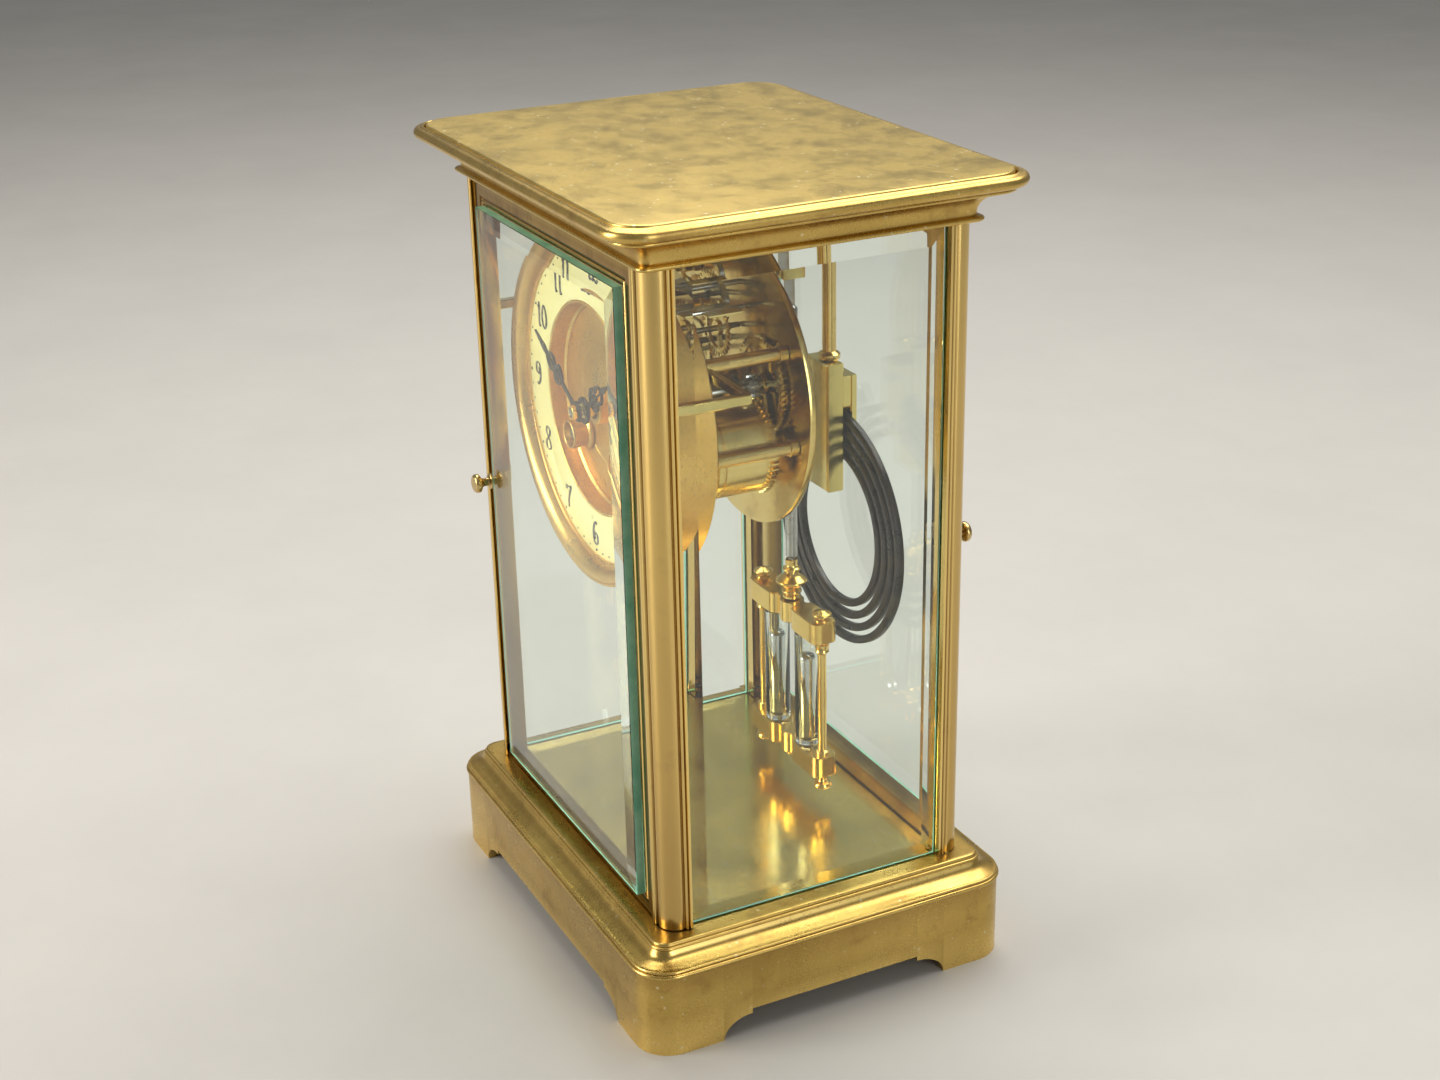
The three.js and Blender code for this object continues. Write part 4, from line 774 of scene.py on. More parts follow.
RING_IN, RING_OUT, RING_FACE, RING_BACK = 33.8, 48.7, -38.9, -37.2
crown = np.linspace(0.0, 1.0, 12)
ring_face = np.stack([RING_OUT - 0.15 - crown * (RING_OUT - RING_IN - 0.3),
                      RING_FACE + 0.28 - 0.28 * np.sin(np.pi * crown) ** 0.7], 1)
ring_profile = np.vstack([[[RING_IN, RING_BACK], [RING_OUT, RING_BACK], [RING_OUT, -38.4]],
                          ring_face, [[RING_IN, -38.4], [RING_IN, RING_BACK]]])
made = Finish("cream_enamel", 0.0)
age = made.noise(45.0, 5.0, 0.6)
crackle = made.texture("ShaderNodeTexVoronoi", 90.0, Randomness=1.0)
tone = made.mix(made.share(age, 0.3, 0.7), (0.84, 0.75, 0.34), (0.76, 0.67, 0.27))
tone = made.mix(made.share(crackle, 0.09, 0.03, 0.0, 0.5), tone, (0.30, 0.22, 0.12))
made.shader.inputs["Coat Weight"].default_value = 0.6
made.shader.inputs["Coat Roughness"].default_value = 0.05
enamel = made.finish(tone, made.share(age, 0.3, 0.7, 0.12, 0.22), age, 0.02)
piece("enamel_ring", [turned(ring_profile, spot, count=160)], "case", enamel,
      ["chapter_ring"])

disc_profile = np.vstack([
    [[3.1, -31.8], [3.1, -37.6], [3.4, -38.0]], arc((4.6, -37.3), 0.7, -90, 0, 6),
    [[5.3, -34.0]], arc((6.3, -34.0), 1.0, 180, 90, 6), [[6.6, -33.0]],
    [[19.5, -33.0], [19.65, -32.88], [19.8, -33.0], [30.9, -33.0], [31.0, -32.7]],
    [[31.4, -32.7], [31.5, -33.1], [32.3, -33.7], [32.7, -37.9]],
    arc((33.2, -38.3), 0.47, 180, 350, 8), [[33.7, -36.9], [51.7, -36.9]],
    [[51.7, -35.8], [34.2, -35.8], [34.2, -31.8], [3.1, -31.8]]])
made = Finish("grained_gilt_disc")
ray = made.noise(70.0, 7.0, 0.66, 0.6)
fine = made.noise(1000.0, 3.0)
tone = made.mix(made.share(ray, 0.32, 0.68), (0.96, 0.62, 0.15), (0.80, 0.46, 0.095))
tone = made.mix(made.share(fine, 0.5, 0.75, 0.0, 0.5), tone, (0.45, 0.27, 0.10))
disc_gilt = made.finish(tone, made.share(ray, 0.3, 0.7, 0.24, 0.40), fine, 0.16)
piece("sunken_disc", [turned(disc_profile, spot, count=128)], "case", disc_gilt,
      ["dial_centre"])
for side, offset in (("left", STRIKE), ("right", GOING)):
    tube = np.vstack([[[3.2, -31.8], [3.2, -37.0], [3.9, -39.1]],
                      arc((4.25, -39.15), 0.35, 200, 340, 6),
                      [[4.7, -38.4], [4.7, -36.0], [4.9, -34.6], [5.7, -34.1], [5.9, -33.8],
                       [5.9, -33.3], [4.7, -33.3], [4.7, -31.8], [3.2, -31.8]]])
    piece(f"key_tube_{side}", [turned(tube, axis_at(offset), count=48)], "case",
          dial_gilt, [f"winding_tube_{side}"])


# ---------------------------------------------------------------- numerals
# The hours are painted upright in thin black figures with curled ends, in the manner of
# 1900, and fired onto the enamel; a dot marks each minute near the rim.
def curved(points, steps=7, closed=False):
    """A smooth line through the points: on each span the cubic whose slopes at its ends
    run parallel to the neighbouring points, half as long as the way between them."""
    points = np.asarray(points, float)
    if closed:
        ends = np.vstack([points[-1:], points, points[:2]])
    else:
        ends = np.vstack([2 * points[:1] - points[1:2], points, 2 * points[-1:] - points[-2:-1]])
    t = np.linspace(0.0, 1.0, steps, endpoint=False)[None, :, None]
    a, b, c, d = (ends[k:len(ends) - 3 + k, None] for k in range(4))
    line = 0.5 * (2 * b + (c - a) * t + (2 * a - 5 * b + 4 * c - d) * t ** 2
                  + (3 * b - 3 * c + d - a) * t ** 3)
    line = line.reshape(-1, points.shape[1])
    return np.vstack([line, points[:1] if closed else points[-1:]])


def stroke(line, width, front, back):
    """A flat stroke along a line in X and Z: at each point the line is set off to both
    sides by half its width, and the four edges run from `front` to `back`."""
    way = np.gradient(line, axis=0)
    way /= np.maximum(np.linalg.norm(way, axis=1, keepdims=True), 1e-9)
    aside = np.stack([-way[:, 1], way[:, 0]], 1) * np.asarray(width)[:, None] / 2
    ends = [np.column_stack([edge[:, 0], np.full(len(line), level), edge[:, 1]])
            for edge, level in ((line + aside, front), (line - aside, front),
                                (line - aside, back), (line + aside, back))]
    return shell(np.stack(ends, 1), caps=True)


six = [(0.44, 0.93), (0.30, 1.0), (0.12, 0.80), (0.05, 0.45), (0.10, 0.10), (0.28, 0.0),
       (0.46, 0.16), (0.44, 0.42), (0.26, 0.52), (0.16, 0.36), (0.24, 0.24)]
FIGURES = {
    "0": [([(0.26, 0.0), (0.07, 0.22), (0.04, 0.62), (0.24, 1.0), (0.44, 0.74), (0.46, 0.30)], True)],
    "1": [([(0.04, 0.80), (0.16, 0.90), (0.20, 1.0), (0.19, 0.60), (0.17, 0.16), (0.22, 0.0),
            (0.34, 0.06)], False)],
    "2": [([(0.16, 0.66), (0.06, 0.78), (0.12, 0.97), (0.32, 0.98), (0.46, 0.78), (0.34, 0.48),
            (0.12, 0.20), (0.04, 0.03), (0.20, 0.10), (0.38, 0.0), (0.52, 0.14)], False)],
    "3": [([(0.10, 0.84), (0.22, 1.0), (0.42, 0.92), (0.42, 0.68), (0.22, 0.56), (0.46, 0.44),
            (0.50, 0.18), (0.28, 0.0), (0.08, 0.08), (0.12, 0.24)], False)],
    "4": [([(0.34, 1.0), (0.22, 0.72), (0.02, 0.36), (0.28, 0.30), (0.54, 0.36)], False),
          ([(0.40, 0.62), (0.36, 0.30), (0.38, 0.0)], False)],
    "5": [([(0.50, 0.98), (0.32, 0.94), (0.16, 0.98), (0.10, 0.58), (0.30, 0.62), (0.48, 0.40),
            (0.42, 0.10), (0.20, 0.0), (0.06, 0.12), (0.16, 0.22)], False)],
    "6": [(six, False)],
    "7": [([(0.06, 0.78), (0.08, 0.94), (0.28, 0.92), (0.50, 0.99), (0.36, 0.62), (0.24, 0.28),
            (0.24, 0.0)], False)],
    "8": [([(0.27, 0.54), (0.08, 0.74), (0.14, 0.96), (0.30, 1.0), (0.44, 0.88), (0.42, 0.68),
            (0.25, 0.52), (0.05, 0.30), (0.10, 0.06), (0.28, 0.0), (0.48, 0.10), (0.46, 0.34)],
           True)],
    "9": [([(0.52 - x, 1.0 - z) for x, z in six], False)],
}
FIGURE_HEIGHT, FIGURE_RADIUS, FIGURE_STEP = 7.6, 41.2, 3.5
INK = (RING_FACE - 0.10, RING_FACE + 0.12)
marks = []
for hour in range(1, 13):
    around_dial = math.radians(30.0 * hour)
    middle = np.array([math.sin(around_dial), math.cos(around_dial)]) * FIGURE_RADIUS
    digits = str(hour)
    for index, digit in enumerate(digits):
        start = middle - [FIGURE_STEP * len(digits) / 2 - FIGURE_STEP * index + 0.2,
                          FIGURE_HEIGHT / 2]
        for points, closed in FIGURES[digit]:
            line = curved(np.array(points) * FIGURE_HEIGHT, 7, closed)
            steep = np.abs(np.gradient(line[:, 1])) / np.linalg.norm(np.gradient(line, axis=0),
                                                                     axis=1)
            marks.append(stroke(line + start + [0, DIAL_Z], 0.42 + 0.95 * steep ** 2, *INK))
for minute in range(60):
    turn = math.radians(6.0 * minute)
    big = minute % 5 == 0
    dot = arc((math.sin(turn) * 46.9, math.cos(turn) * 46.9 + DIAL_Z), 0.5 if big else 0.3,
              0, 330, 12)
    marks.append(slab(dot, INK[0] + 0.06, INK[1] + 0.1, 0.02))
black_paint = clouded("fired_black_paint", 0.0, 300.0, 3.0, (0.4, 0.75), (0.012, 0.011, 0.012),
                      (0.07, 0.055, 0.045), (0.18, 0.35), 0.05)
piece("painted_hours", marks, "case", black_paint)


# ---------------------------------------------------------------- motion work
# Behind the dial a minute wheel turns from the cannon pinion and drives the hour wheel,
# whose pipe comes out through the boss and carries the hour hand.
HOUR_TEETH = 40
minute_phase = mesh_phase(CENTRE, MINUTE, cannon_radius, minute_radius, 0.0, MINUTE_TEETH)
minute_pinion, hour_radius = pitch_radii(MINUTE, CENTRE, LEAVES, HOUR_TEETH)
hour_phase = mesh_phase(MINUTE, CENTRE, minute_pinion, hour_radius, 0.0, HOUR_TEETH)
spot = axis_at(MINUTE)
stud = turned([[0, -29.4], [0.7, -29.4], [0.9, -29.2], [0.9, -23.3], [PIVOT, -23.3],
               [PIVOT, -20.9], [0, -20.9]], spot, count=20)
piece("minute_wheel_and_pinion",
      [stud, toothed_ring(toothed(LEAVES, minute_pinion, 0.0), 0.4, spot, -29.0, -26.5),
       toothed_ring(toothed(MINUTE_TEETH, minute_radius, minute_phase), 0.4, spot, -26.6, -25.5)],
      "minute_wheel", movement_brass, ["minute_wheel"])
spot = axis_at(CENTRE)
pipe = [[1.5, -28.6], [1.5, -41.6], [2.25, -41.6], [2.4, -41.4], [2.4, -28.6], [1.5, -28.6]]
piece("hour_wheel_and_pipe",
      [toothed_ring(toothed(HOUR_TEETH, hour_radius, hour_phase), 1.5, spot, -28.8, -27.8),
       turned(pipe, spot, count=32)],
      "hour_pipe", movement_brass, ["hour_wheel"])


# ---------------------------------------------------------------- hands
# Both hands are sawn from sheet steel: a round eye, a slim neck, an openwork of paired
# scrolls and a leaf point. The blueing has darkened to brown black.
blued_steel = clouded("darkened_blued_steel", 1.0, 220.0, 5.0, (0.35, 0.7),
                      (0.030, 0.027, 0.034), (0.10, 0.065, 0.05), (0.22, 0.42), 0.06)


def scrolled_hand(length, eye, bore, neck, scroll_start, scroll_end, spread, front, back, angle):
    """A hand pointing up, then turned `angle` degrees clockwise: the eye is a turned ring,
    everything else is a set of strokes mirrored about the middle line."""
    def line(points, widths):
        smooth = curved(points, 8)
        width = np.interp(np.linspace(0, 1, len(smooth)), np.linspace(0, 1, len(widths)), widths)
        return smooth, width
    span = scroll_end - scroll_start
    strokes = [line([(0, eye * 0.8), (0, scroll_start * 0.6), (0, scroll_start + span * 0.10)],
                    [neck * 1.9, neck, neck * 1.2]),
               line([(0, scroll_end - span * 0.12), (0, scroll_end + (length - scroll_end) * 0.25),
                     (0, length)], [neck * 0.9, neck * 1.7, 0.12]),
               line([(0, -eye * 0.8), (0, -eye * 1.25)], [neck * 1.4, neck * 0.8])]
    for side in (-1, 1):
        outer_curve = [(0, scroll_start), (side * spread * 0.7, scroll_start + span * 0.14),
                       (side * spread, scroll_start + span * 0.34),
                       (side * spread * 0.45, scroll_start + span * 0.50),
                       (side * spread * 0.8, scroll_start + span * 0.68),
                       (side * spread * 0.5, scroll_start + span * 0.88), (0, scroll_end)]
        curl = [(0, scroll_start + span * 0.50), (side * spread * 0.35, scroll_start + span * 0.40),
                (side * spread * 0.55, scroll_start + span * 0.28),
                (side * spread * 0.30, scroll_start + span * 0.20),
                (side * spread * 0.12, scroll_start + span * 0.30)]
        strokes.append(line(outer_curve, [0.5, 0.8, 1.0, 0.7, 0.9, 0.7, 0.5]))
        strokes.append(line(curl, [0.5, 0.5, 0.45, 0.5, 0.6]))
    spine = line([(0, scroll_start), (0, scroll_end)], [0.45, 0.45])
    shells = [stroke(points, width, front, back) for points, width in strokes + [spine]]
    ring = [[bore, front + 0.1], [bore + 0.15, front], [eye - 0.15, front], [eye, front + 0.15],
            [eye, back - 0.05], [eye - 0.1, back], [bore, back], [bore, front + 0.1]]
    shells.append(turned(ring, (0, 0), count=48))
    swing = math.radians(angle)
    matrix = np.array([[math.cos(swing), 0, math.sin(swing)], [0, 1, 0],
                       [-math.sin(swing), 0, math.cos(swing)]])
    return [(points @ matrix.T + [0, 0, DIAL_Z], faces) for points, faces in shells]


piece("hour_hand_scrolled",
      scrolled_hand(23.5, 4.3, 2.7, 1.3, 7.0, 17.6, 3.5, -41.4, -40.6, 55.0),
      "hour_pipe", blued_steel, ["hour_hand"])
piece("minute_hand_scrolled",
      scrolled_hand(36.0, 3.3, 1.5, 1.1, 12.0, 26.0, 2.9, -43.6, -42.9, 300.0),
      "minute_arbor", blued_steel, ["minute_hand"])
nut = np.vstack([[[1.5, -43.9], [1.5, -45.4]], arc((1.95, -45.05), 0.35, 230, 350, 6),
                 [[2.3, -44.1], [2.15, -43.9], [1.5, -43.9]]])
made = Finish("bright_pendulum_gilt")
veil = made.noise(60.0, 6.0, 0.62, 0.3)
tone = made.mix(made.share(veil, 0.32, 0.7), (0.98, 0.70, 0.22), (0.88, 0.57, 0.14))
tone = made.mix(made.share(made.noise(260.0, 6.0), 0.60, 0.74, 0.0, 0.6), tone, (0.52, 0.33, 0.11))
pendulum_gilt = made.finish(tone, made.share(veil, 0.3, 0.7, 0.14, 0.28), veil, 0.03)
piece("hand_nut_turned", [turned(nut, axis_at(CENTRE), count=32)], "minute_arbor", pendulum_gilt,
      ["hand_nut"])


# ---------------------------------------------------------------- strike hammer
# A steel arbor crosses both plates. Behind them its arm carries a cylindrical head with
# turned ends beside the outer turn of the gong.
HAMMER = (-31.1, -29.4)
HAMMER_ARM, HAMMER_RISE = 16.0, math.radians(40.0)
spot = axis_at(HAMMER)
shaft = turned([[0, FRONT_PLATE[0] + 0.4], [PIVOT, FRONT_PLATE[0] + 0.4], [PIVOT, ARBOR_ENDS[0]],
                [1.1, ARBOR_ENDS[0]], [1.1, 41.9], [0.8, 42.2], [0, 42.2]], spot, count=20)
reach = np.array([math.cos(HAMMER_RISE), math.sin(HAMMER_RISE)])
aside = np.array([-reach[1], reach[0]])
arm = slab(np.array([-aside * 1.3 - reach * 1.6, reach * HAMMER_ARM - aside * 0.8,
                     reach * HAMMER_ARM + aside * 0.8, aside * 1.3 - reach * 1.6]) + spot,
           39.9, 41.7, 0.3)
head_profile = np.vstack([[[0, -3.5], [2.2, -3.5]], arc((2.4, -2.9), 0.6, -90, 0, 5),
                          [[3.0, -1.2], [2.8, -1.0], [2.8, -0.8], [3.0, -0.6], [3.0, 2.9]],
                          arc((2.4, 2.9), 0.6, 0, 90, 5), [[0, 3.5]]])
points, faces = turned(head_profile, (0, 0), "z", 36)
twist = np.array([[reach[0], 0, aside[0]], [0, 1, 0], [reach[1], 0, aside[1]]])
head = (points @ twist.T + [spot[0] + reach[0] * HAMMER_ARM, 40.8, spot[1] + reach[1] * HAMMER_ARM],
        faces)
piece("strike_hammer", [shaft, arm, head], "hammer", bright_steel, ["hammer"])


# ---------------------------------------------------------------- pendulum
# A steel rod hangs from a flat spring. Below its turned rating nut two gilt lobed bars,
# held apart by slim columns, clasp two glass vials part filled with mercury.
low, high = corners("pendulum_rod")
axis = (0.0, PENDULUM_Y)
rod = [[0, low[2]], [1.0, low[2]], [1.2, low[2] + 0.2], [1.2, 119.0], [2.0, 119.8], [2.0, 199.0],
       [2.4, 199.6], [2.6, 200.2], [2.6, 204.6], [2.2, 205.2], [1.2, 205.9], [0, 206.0]]
spring = slab([[-0.25, 26.2], [0.25, 26.2], [0.25, 29.8], [-0.25, 29.8]], 202.0, high[2], 0.05, "z")
piece("pendulum_steel_rod", [turned(rod, axis, "z", 40), spring], "pendulum", bright_steel,
      ["pendulum_rod"])
low, high = corners("rating_nut")
nut_profile = np.vstack([
    [[1.5, low[2]], [2.8, low[2]], [3.0, 104.8], [3.0, 105.6], [2.5, 106.1]],
    arc((2.75, 107.0), 0.62, -100, 80, 8), [[2.5, 107.9], [2.6, 108.3]],
    [[3.6, 108.8], [4.5, 109.5]], arc((4.75, 110.8), 0.6, -70, 70, 8), [[4.3, 111.9], [3.4, 112.6]],
    [[2.5, 113.3], [2.2, 113.9]], arc((2.45, 114.9), 0.62, -80, 80, 7),
    [[2.2, 115.8], [1.95, 116.4], [2.1, 117.2], [2.1, 118.2], [1.9, high[2]], [1.5, high[2]],
     [1.5, low[2]]]])
piece("rating_nut_turned", [turned(nut_profile, axis, "z", 64)], "rating_nut", pendulum_gilt,
      ["rating_nut"])


def lobed_outline():
    """The bar's outline. Its half width is the largest of three: a rounded block over each
    vial and column, where width and length to the fifth power add up to one; a circle
    round the nut; and the narrower web."""
    x = 23.6 * np.sin(np.linspace(-np.pi / 2, np.pi / 2, 241))
    along = np.clip(np.abs(np.abs(x) - 14.6) / 9.0, 0.0, 1.0)
    block = 4.6 * (1.0 - along ** 5) ** 0.2
    boss = np.sqrt(np.maximum(4.1 ** 2 - x ** 2, 0.0))
    half = np.maximum(np.maximum(block, boss), np.where(np.abs(x) < 15.0, 2.5, 0.0))
    half[[0, -1]] = 0.0
    lower = np.stack([x, PENDULUM_Y - half], 1)
    upper = np.stack([x, PENDULUM_Y + half], 1)[::-1]
    return np.vstack([lower, upper[1:-1]])


def on_both(profile, x, count=32):
    """The same upright turning on both sides of the rod."""
    return [turned(profile, (side * x, PENDULUM_Y), "z", count) for side in (-1, 1)]


COLUMN_X, VIAL_X = 20.5, 10.5
low, high = corners("pendulum_top_bar")
finial = np.vstack([[[0, 103.9], [2.0, 103.9]], arc((2.0, 104.4), 0.45, -80, 80, 6),
                    [[1.5, 105.0], [1.45, 105.4], [1.9, 105.8]],
                    arc((2.75, 106.4), 0.5, -100, 80, 8), [[2.2, 107.0], [1.2, 107.6],
                                                           [0, 107.8]]])
top_bar = slab(lobed_outline(), low[2], 104.2, 0.35, "z")
piece("lobed_top_bar", [top_bar, *on_both(finial, COLUMN_X)], "pendulum", pendulum_gilt,
      ["pendulum_top_bar"])
low, high = corners("pendulum_stirrup")
column = np.vstack([
    [[0, low[2]], [1.2, low[2] + 0.05]], arc((1.9, 43.5), 1.1, -80, 75, 10),
    [[1.6, 44.9], [1.35, 45.3], [1.35, 46.2], [1.6, 46.6], [2.3, 47.3], [2.4, 47.5], [2.4, 55.4]],
    arc((1.95, 55.95), 0.45, -30, 90, 6), [[1.5, 56.7], [1.42, 60.0], [1.55, 74.5], [1.42, 89.0]],
    [[1.5, 92.2]], arc((1.95, 93.2), 0.45, -90, 60, 6), [[2.1, 94.0], [2.4, 94.6], [2.4, 95.7],
                                                         [2.1, 96.1], [1.6, 96.3], [0, 96.3]]])
bottom_bar = slab(lobed_outline(), 47.5, 55.0, 0.35, "z")
centre_boss = turned(np.vstack([[[0, 45.8], [1.6, 45.8]], arc((1.9, 46.5), 0.7, -90, 80, 7),
                                [[1.7, 47.4], [1.7, 47.6], [0, 47.6]]]), axis, "z", 32)
piece("lobed_bottom_bar", [bottom_bar, centre_boss, *on_both(column, COLUMN_X)], "pendulum",
      pendulum_gilt, ["pendulum_stirrup"])

BORE, MENISCUS = 2.9, 1.1
vial_glass = clear_glass("drawn_vial_glass", 0.004)
quicksilver = clouded("quicksilver", 1.0, 80.0, 4.0, (0.35, 0.7), (0.86, 0.86, 0.85),
                      (0.70, 0.70, 0.70), (0.03, 0.10), 0.02)
for side, sx in (("left", -1), ("right", 1)):
    low, high = corners(f"vial_{side}")
    bottom, top = low[2], high[2]
    vial = np.vstack([[[0, bottom + 0.2], [3.4, bottom]], arc((3.75, bottom + 0.5), 0.5, -90, 0, 5),
                      [[4.25, bottom + 6.0], [4.25, top - 0.4]], arc((3.8, top - 0.42), 0.42, 0, 180, 8),
                      [[3.3, top - 1.0], [3.3, bottom + 2.4], [2.9, bottom + 1.6],
                       [0, bottom + 1.4]]])
    piece(f"glass_vial_{side}", [turned(vial, (sx * VIAL_X, PENDULUM_Y), "z", 48)], "pendulum",
          vial_glass, [f"vial_{side}"])
    low, high = corners(f"mercury_{side}")
    crest = arc((0, 0), 1.0, 0, 90, 8) * [BORE, MENISCUS] + [0, high[2] - MENISCUS]
    fill = np.vstack([[[0, low[2]], [2.4, low[2]], [BORE, low[2] + 0.7],
                       [BORE, high[2] - MENISCUS]], crest])
    piece(f"mercury_column_{side}", [turned(fill, (sx * VIAL_X, PENDULUM_Y), "z", 48)],
          "pendulum", quicksilver, [f"mercury_{side}"])


# ---------------------------------------------------------------- gong
# A flat steel strip is wound into a black coil. Its outer end is clamped by a small plate
# and two screws behind a square brass block, which hangs from the top of the case on a rod.
low, high = corners("gong_block")
piece("gong_block_brass",
      [slab(oblong(low[0], high[0], low[2], high[2]), low[1], high[1], 0.6)], "case",
      movement_brass, ["gong_block"])
clamp_low, clamp_high = 158.0, 184.0
clamp = slab(oblong(low[0] + 1.2, high[0] - 1.2, clamp_low, clamp_high), 42.3, 44.6, 0.4)
packing = slab(oblong(low[0] + 1.2, high[0] - 1.2, 174.0, clamp_high), high[1] + 0.05, 42.25, 0.2)
piece("gong_clamp", [clamp, packing], "case", movement_brass)
clamp_screws = [part for z in (162.5, 179.0)
                for part in slotted_screw(2.2, (8.5, z), 44.6, 1, 0.9, z)]
piece("clamp_screws", clamp_screws, "case", bright_steel)
low, high = corners("gong_rod")
middle = (low + high) / 2
rod = [[0, low[2]], [3.4, low[2]], [3.6, low[2] + 0.3], [3.6, low[2] + 1.6], [3.0, low[2] + 2.2],
       [2.25, low[2] + 2.6], [2.25, high[2]], [0, high[2]]]
piece("gong_hanger", [turned(rod, middle[:2], "z", 40)], "case", movement_brass,
      ["gong_rod"])

GONG = dict(x=8.8, z=130.5, front=39.6, back=42.0, strip=2.6, radius=39.7, pitch=4.13, turns=3.85)
turns = np.linspace(0.0, GONG["turns"], 520)
coil_radius = GONG["radius"] - GONG["pitch"] * turns
coil_angle = np.pi / 2 - 2.0 * np.pi * turns
rounding = 0.5
half_strip, half_depth = GONG["strip"] / 2, (GONG["back"] - GONG["front"]) / 2
edge = np.vstack([arc((half_strip - rounding, half_depth - rounding), rounding, 0, 90, 4),
                  arc((rounding - half_strip, half_depth - rounding), rounding, 90, 180, 4),
                  arc((rounding - half_strip, rounding - half_depth), rounding, 180, 270, 4),
                  arc((half_strip - rounding, rounding - half_depth), rounding, 270, 360, 4)])
reach = coil_radius[:, None] + edge[None, :, 0]
coil = np.stack([GONG["x"] + reach * np.cos(coil_angle)[:, None],
                 np.broadcast_to(edge[:, 1] + (GONG["front"] + GONG["back"]) / 2, reach.shape),
                 GONG["z"] + reach * np.sin(coil_angle)[:, None]], -1)
gong_steel = clouded("black_gong_steel", 1.0, 130.0, 6.0, (0.35, 0.7), (0.035, 0.037, 0.045),
                     (0.085, 0.07, 0.06), (0.22, 0.42), 0.08, 0.65)
piece("gong_spiral", [shell(coil, caps=True)], "case", gong_steel,
      ["gong_coil"], 50.0)


# ---------------------------------------------------------------- cornice
# The cornice is a second casting, hollow below, screwed down on the pillars. It climbs
# from a fine bead through a deep cove to a heavy half-round edge round the top plate.
low, high = corners("cornice")
CORNICE_HALF, CORNICE_LOW, CORNICE_TOP = high[:2], low[2], high[2]
cornice_places = [np.linspace(-half + 13.0, half - 13.0, 9) for half in CORNICE_HALF]
hollow = np.array([[23.3, 254.5], [23.3, CORNICE_LOW]])
cove = [5.2, 247.0] + arc((0, 0), 1.0, 0, 84, 16) * [8.0, 6.6]
cornice_profile = np.vstack([
    hollow, [[12.6, CORNICE_LOW]], arc((12.35, 245.35), 0.75, 260, 100, 9), [[12.9, 246.2]],
    [[13.2, 246.5], [13.2, 247.0]], cove, [[4.7, 253.75], [4.2, 253.9]],
    arc((3.9, 254.6), 0.6, 235, 100, 8), [[3.4, 255.3], [2.6, 255.45]],
    arc((1.75, 257.35), 1.75, 265, 95, 16), [[2.25, 259.15], [2.6, CORNICE_TOP - 0.1],
                                             [3.0, CORNICE_TOP], [3.3, CORNICE_TOP - 0.2],
                                             [3.5, CORNICE_TOP - 0.6], [3.5, 256.9]]])
rows = moulded(CORNICE_HALF, 12.2, cornice_profile, cornice_places, 3.0)
# The case brass paints the half-round edge and the beads bright as highlight, and the cove dark as
# shade.
piece("moulded_cornice", [shell(rows), lid(rows[0]), lid(rows[-1])], "case", case_brass,
      ["cornice"])


# ---------------------------------------------------------------- top plate
# A flat brass plate is let into the cornice. Years of dusting have left it satin, cloudy
# and peppered with pale specks.
low, high = corners("top_plate")
top_places = [np.linspace(-half + 12.0, half - 12.0, 5) for half in high[:2]]
top_profile = np.vstack([[[0.0, low[2]], [0.0, high[2] - 0.7]],
                         arc((0.7, high[2] - 0.7), 0.7, 180, 90, 6)])
rows = moulded(high[:2], 10.3, top_profile, top_places)
top_brass = brass("satin_top_brass", (0.60, 0.45, 0.15), (0.56, 0.42, 0.135), (0.42, 0.30, 0.09),
                  (0.30, 0.44), 26.0, (14.0, 500.0, 500.0), 1.0)
piece("satin_top_plate", [shell(rows), lid(rows[0]), lid(rows[-1])], "case", top_brass,
      ["top_plate"])


# ---------------------------------------------------------------- hinge pins
# Each door turns on two short steel pins, one let into the base and one into the cornice.
for side in ("front", "back"):
    for end in ("bottom", "top"):
        name = f"{side}_hinge_pin_{end}"
        low, high = corners(name)
        middle = (low + high) / 2
        radius = (high[0] - low[0]) / 2
        pin = [[0, low[2]], [radius - 0.25, low[2]], [radius, low[2] + 0.25],
               [radius, high[2] - 0.25], [radius - 0.25, high[2]], [0, high[2]]]
        piece(f"{name}_turned", [turned(pin, middle[:2], "z", 24)], "case", bright_steel,
              [name])


# ---------------------------------------------------------------- doors
# Front and back doors are alike, the back one turned half round: a slim brass frame with
# a bead round a bevelled pane that stands proud of it on a narrow ledge, and a turned knob
# whose shaft ends in a catch tongue behind the pillar.
low, high = corners("front_door_frame")
DOOR_HALF, DOOR_LOW, DOOR_TOP = high[0], low[2], high[2]
DOOR_FRONT, DOOR_BACK = low[1], high[1]
STILE, TOP_RAIL, BOTTOM_RAIL = 6.5, 7.0, 5.0
glass_low, glass_high = corners("front_door_glass")


def door_ring(share, level):
    """Four corners of the frame at `share` of its width in from the outer edge: the stiles
    are 6.5 wide, the top rail 7 and the bottom rail 5."""
    wide = DOOR_HALF - STILE * share
    base, head = DOOR_LOW + BOTTOM_RAIL * share, DOOR_TOP - TOP_RAIL * share
    return [[-wide, level, base], [wide, level, base], [wide, level, head], [-wide, level, head]]


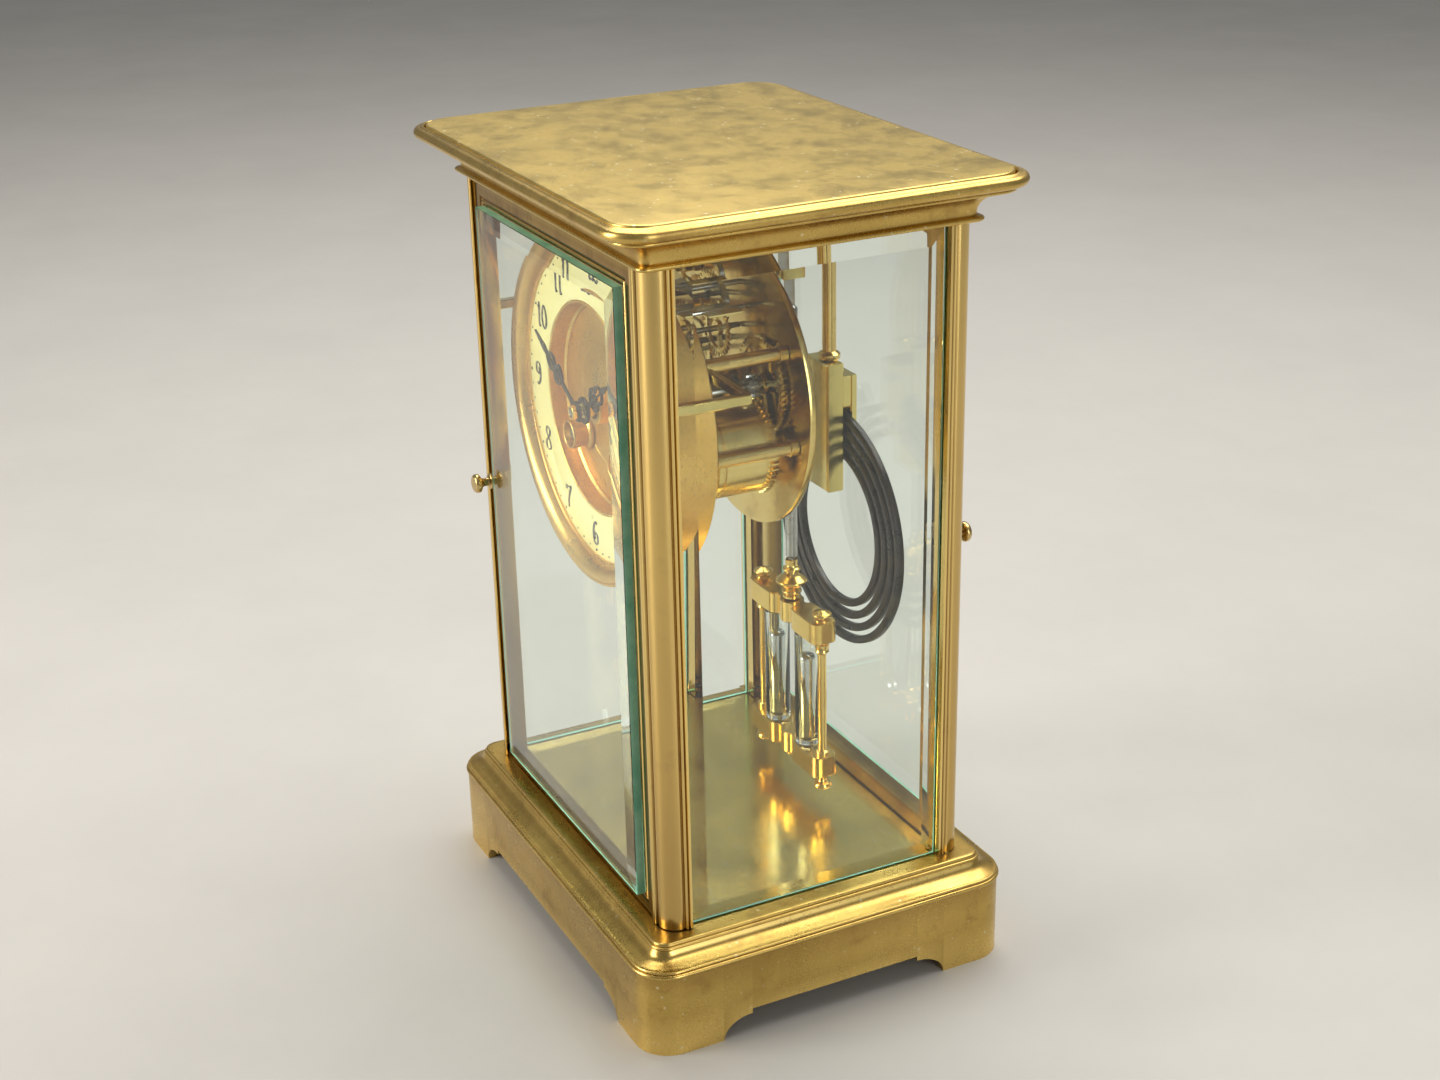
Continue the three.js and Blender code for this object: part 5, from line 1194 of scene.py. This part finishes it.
bead = arc((0.885, DOOR_FRONT + 0.75), 1.0, 180, 360, 9) - [0.885, DOOR_FRONT + 0.75]
frame_section = np.vstack([
    [[0.0, DOOR_BACK], [0.0, DOOR_FRONT + 0.35], [0.045, DOOR_FRONT + 0.05], [0.09, DOOR_FRONT]],
    [[0.62, DOOR_FRONT], [0.66, DOOR_FRONT + 0.35], [0.745, DOOR_FRONT + 0.45]],
    bead * [0.115, 0.7] + [0.87, DOOR_FRONT + 0.75], [[1.0, glass_high[1] + 0.25]],
    [[1.22, glass_high[1] + 0.25], [1.22, glass_high[1] + 1.2], [1.15, DOOR_BACK]]])
frame_rows = np.array([door_ring(share, level) for share, level in frame_section])
DOOR_GLASS_RIM = 2.95
door_pane = pane(glass_high[0], glass_low[2], glass_high[2], glass_low[1], -1, "x", DOOR_GLASS_RIM)
KNOB_X, KNOB_Z = 57.4, 142.0
face = DOOR_FRONT - 0.3
knob_turning = np.vstack([
    [[0, face - 7.6], [1.2, face - 7.55]], arc((2.3, face - 6.9), 0.65, -95, -20, 5),
    [[3.1, face - 6.9], [3.2, face - 6.6], [3.2, face - 5.9], [3.05, face - 5.6]],
    [[2.5, face - 5.2], [1.6, face - 4.7], [1.35, face - 4.2], [1.35, face - 2.9]],
    [[1.5, face - 2.4], [2.1, face - 2.1]], arc((2.1, face - 1.6), 0.5, -60, 60, 6),
    [[2.1, face - 1.1], [2.5, face - 0.9], [2.7, face - 0.6], [2.7, face]],
    [[1.2, face], [1.2, DOOR_BACK + 1.5], [0, DOOR_BACK + 1.5]]])
tongue = np.vstack([arc((0, 0), 1.8, 180, 360, 12), [[1.8, 4.8]], arc((0, 4.5), 1.8, 8, 172, 12)])
knob_shells = [turned(knob_turning, (-KNOB_X, KNOB_Z), count=48),
               slab(tongue + [-KNOB_X, KNOB_Z], DOOR_BACK + 0.3, DOOR_BACK + 1.5, 0.15)]
# The knob's turned edges are painted bright as wear and highlight, and its hollows dark as dirt and
# shade.
knob_brass = brass("rubbed_and_highlit_knob_brass", (0.66, 0.49, 0.20), (0.50, 0.35, 0.14),
                   (0.20, 0.11, 0.05), (0.20, 0.36), 60.0, None, 0.0, 0.9)
for side, facing in (("front", 1), ("back", -1)):
    turn = np.array([facing, facing, 1.0])

    def faced(part):
        return part[0] * turn, part[1]

    piece(f"{side}_door_rails", [faced(shell(frame_rows, wrap=True))], f"{side}_door",
          pillar_brass, [f"{side}_door_frame"])
    made = piece(f"{side}_door_pane", [faced(door_pane)], f"{side}_door", case_glass,
                 [f"{side}_door_glass"], 2.0)
    ground_edges(made, "x")
    piece(f"{side}_catch_knob", [faced(part) for part in knob_shells], f"{side}_knob",
          knob_brass, [f"{side}_door_knob"])


# ---------------------------------------------------------------- studio
# Pale seamless ground, soft lights above, in front and at the side, and a portrait lens
# above the right front corner looking down on the case.
def soft_light(name, spot, size, power, colour):
    """A rectangular area light turned to face the middle of the case."""
    data = bpy.data.lights.new(name, "AREA")
    data.shape = "RECTANGLE"
    data.size, data.size_y = size
    data.energy = power
    data.color = colour
    lamp = bpy.data.objects.new(name, data)
    lamp.location = spot
    aim = Vector((0.0, 0.0, 0.13)) - Vector(spot)
    lamp.rotation_euler = aim.to_track_quat("-Z", "Y").to_euler()
    bpy.context.scene.collection.objects.link(lamp)


soft_light("overhead_softbox", (-0.25, 0.35, 1.2), (1.5, 1.1), 22.0, (1.0, 0.97, 0.92))
soft_light("front_softbox", (-0.3, -1.25, 0.6), (0.55, 1.0), 16.0, (1.0, 0.96, 0.9))
soft_light("side_softbox", (1.35, 0.2, 0.45), (0.35, 0.9), 5.0, (0.96, 0.98, 1.0))

sky = bpy.data.worlds.new("pale_studio")
bpy.context.scene.world = sky
sky.use_nodes = True
sky.node_tree.nodes["Background"].inputs["Color"].default_value = (0.80, 0.80, 0.78, 1.0)
sky.node_tree.nodes["Background"].inputs["Strength"].default_value = 0.30

made = Finish("pale_ground", 0.0)
cloth = made.noise(9.0, 5.0)
tone = made.mix(made.share(cloth, 0.3, 0.7), (0.50, 0.485, 0.455), (0.46, 0.446, 0.42))
ground_paper = made.finish(tone, made.share(cloth, 0.3, 0.7, 0.5, 0.6))
ground_mesh = bpy.data.meshes.new("ground")
ground_mesh.from_pydata([(-4, -4, 0), (4, -4, 0), (4, 4, 0), (-4, 4, 0)], [], [(0, 1, 2, 3)])
ground_mesh.materials.append(ground_paper)
ground = bpy.data.objects.new("ground", ground_mesh)
bpy.context.scene.collection.objects.link(ground)

heading, tilt, roll = (math.radians(angle) for angle in (153.7, -22.75, -1.24))
look = Vector((math.cos(tilt) * math.cos(heading), math.cos(tilt) * math.sin(heading),
               math.sin(tilt)))
level = Vector((math.sin(heading), -math.cos(heading), 0.0))
over = level.cross(look)
right = level * math.cos(roll) + over * math.sin(roll)
upward = over * math.cos(roll) - level * math.sin(roll)
camera_data = bpy.data.cameras.new("portrait_lens")
camera_data.sensor_width = 36.0
camera_data.lens = 54.17
camera_data.clip_start = 0.01
camera = bpy.data.objects.new("portrait_camera", camera_data)
camera.matrix_world = (Matrix.Translation(Vector((582.9, -285.7, 402.5)) * MM)
                       @ Matrix((right, upward, -look)).transposed().to_4x4())
bpy.context.scene.collection.objects.link(camera)
bpy.context.scene.camera = camera

bpy.context.scene.view_settings.view_transform = "Standard"
bpy.context.view_layer.update()
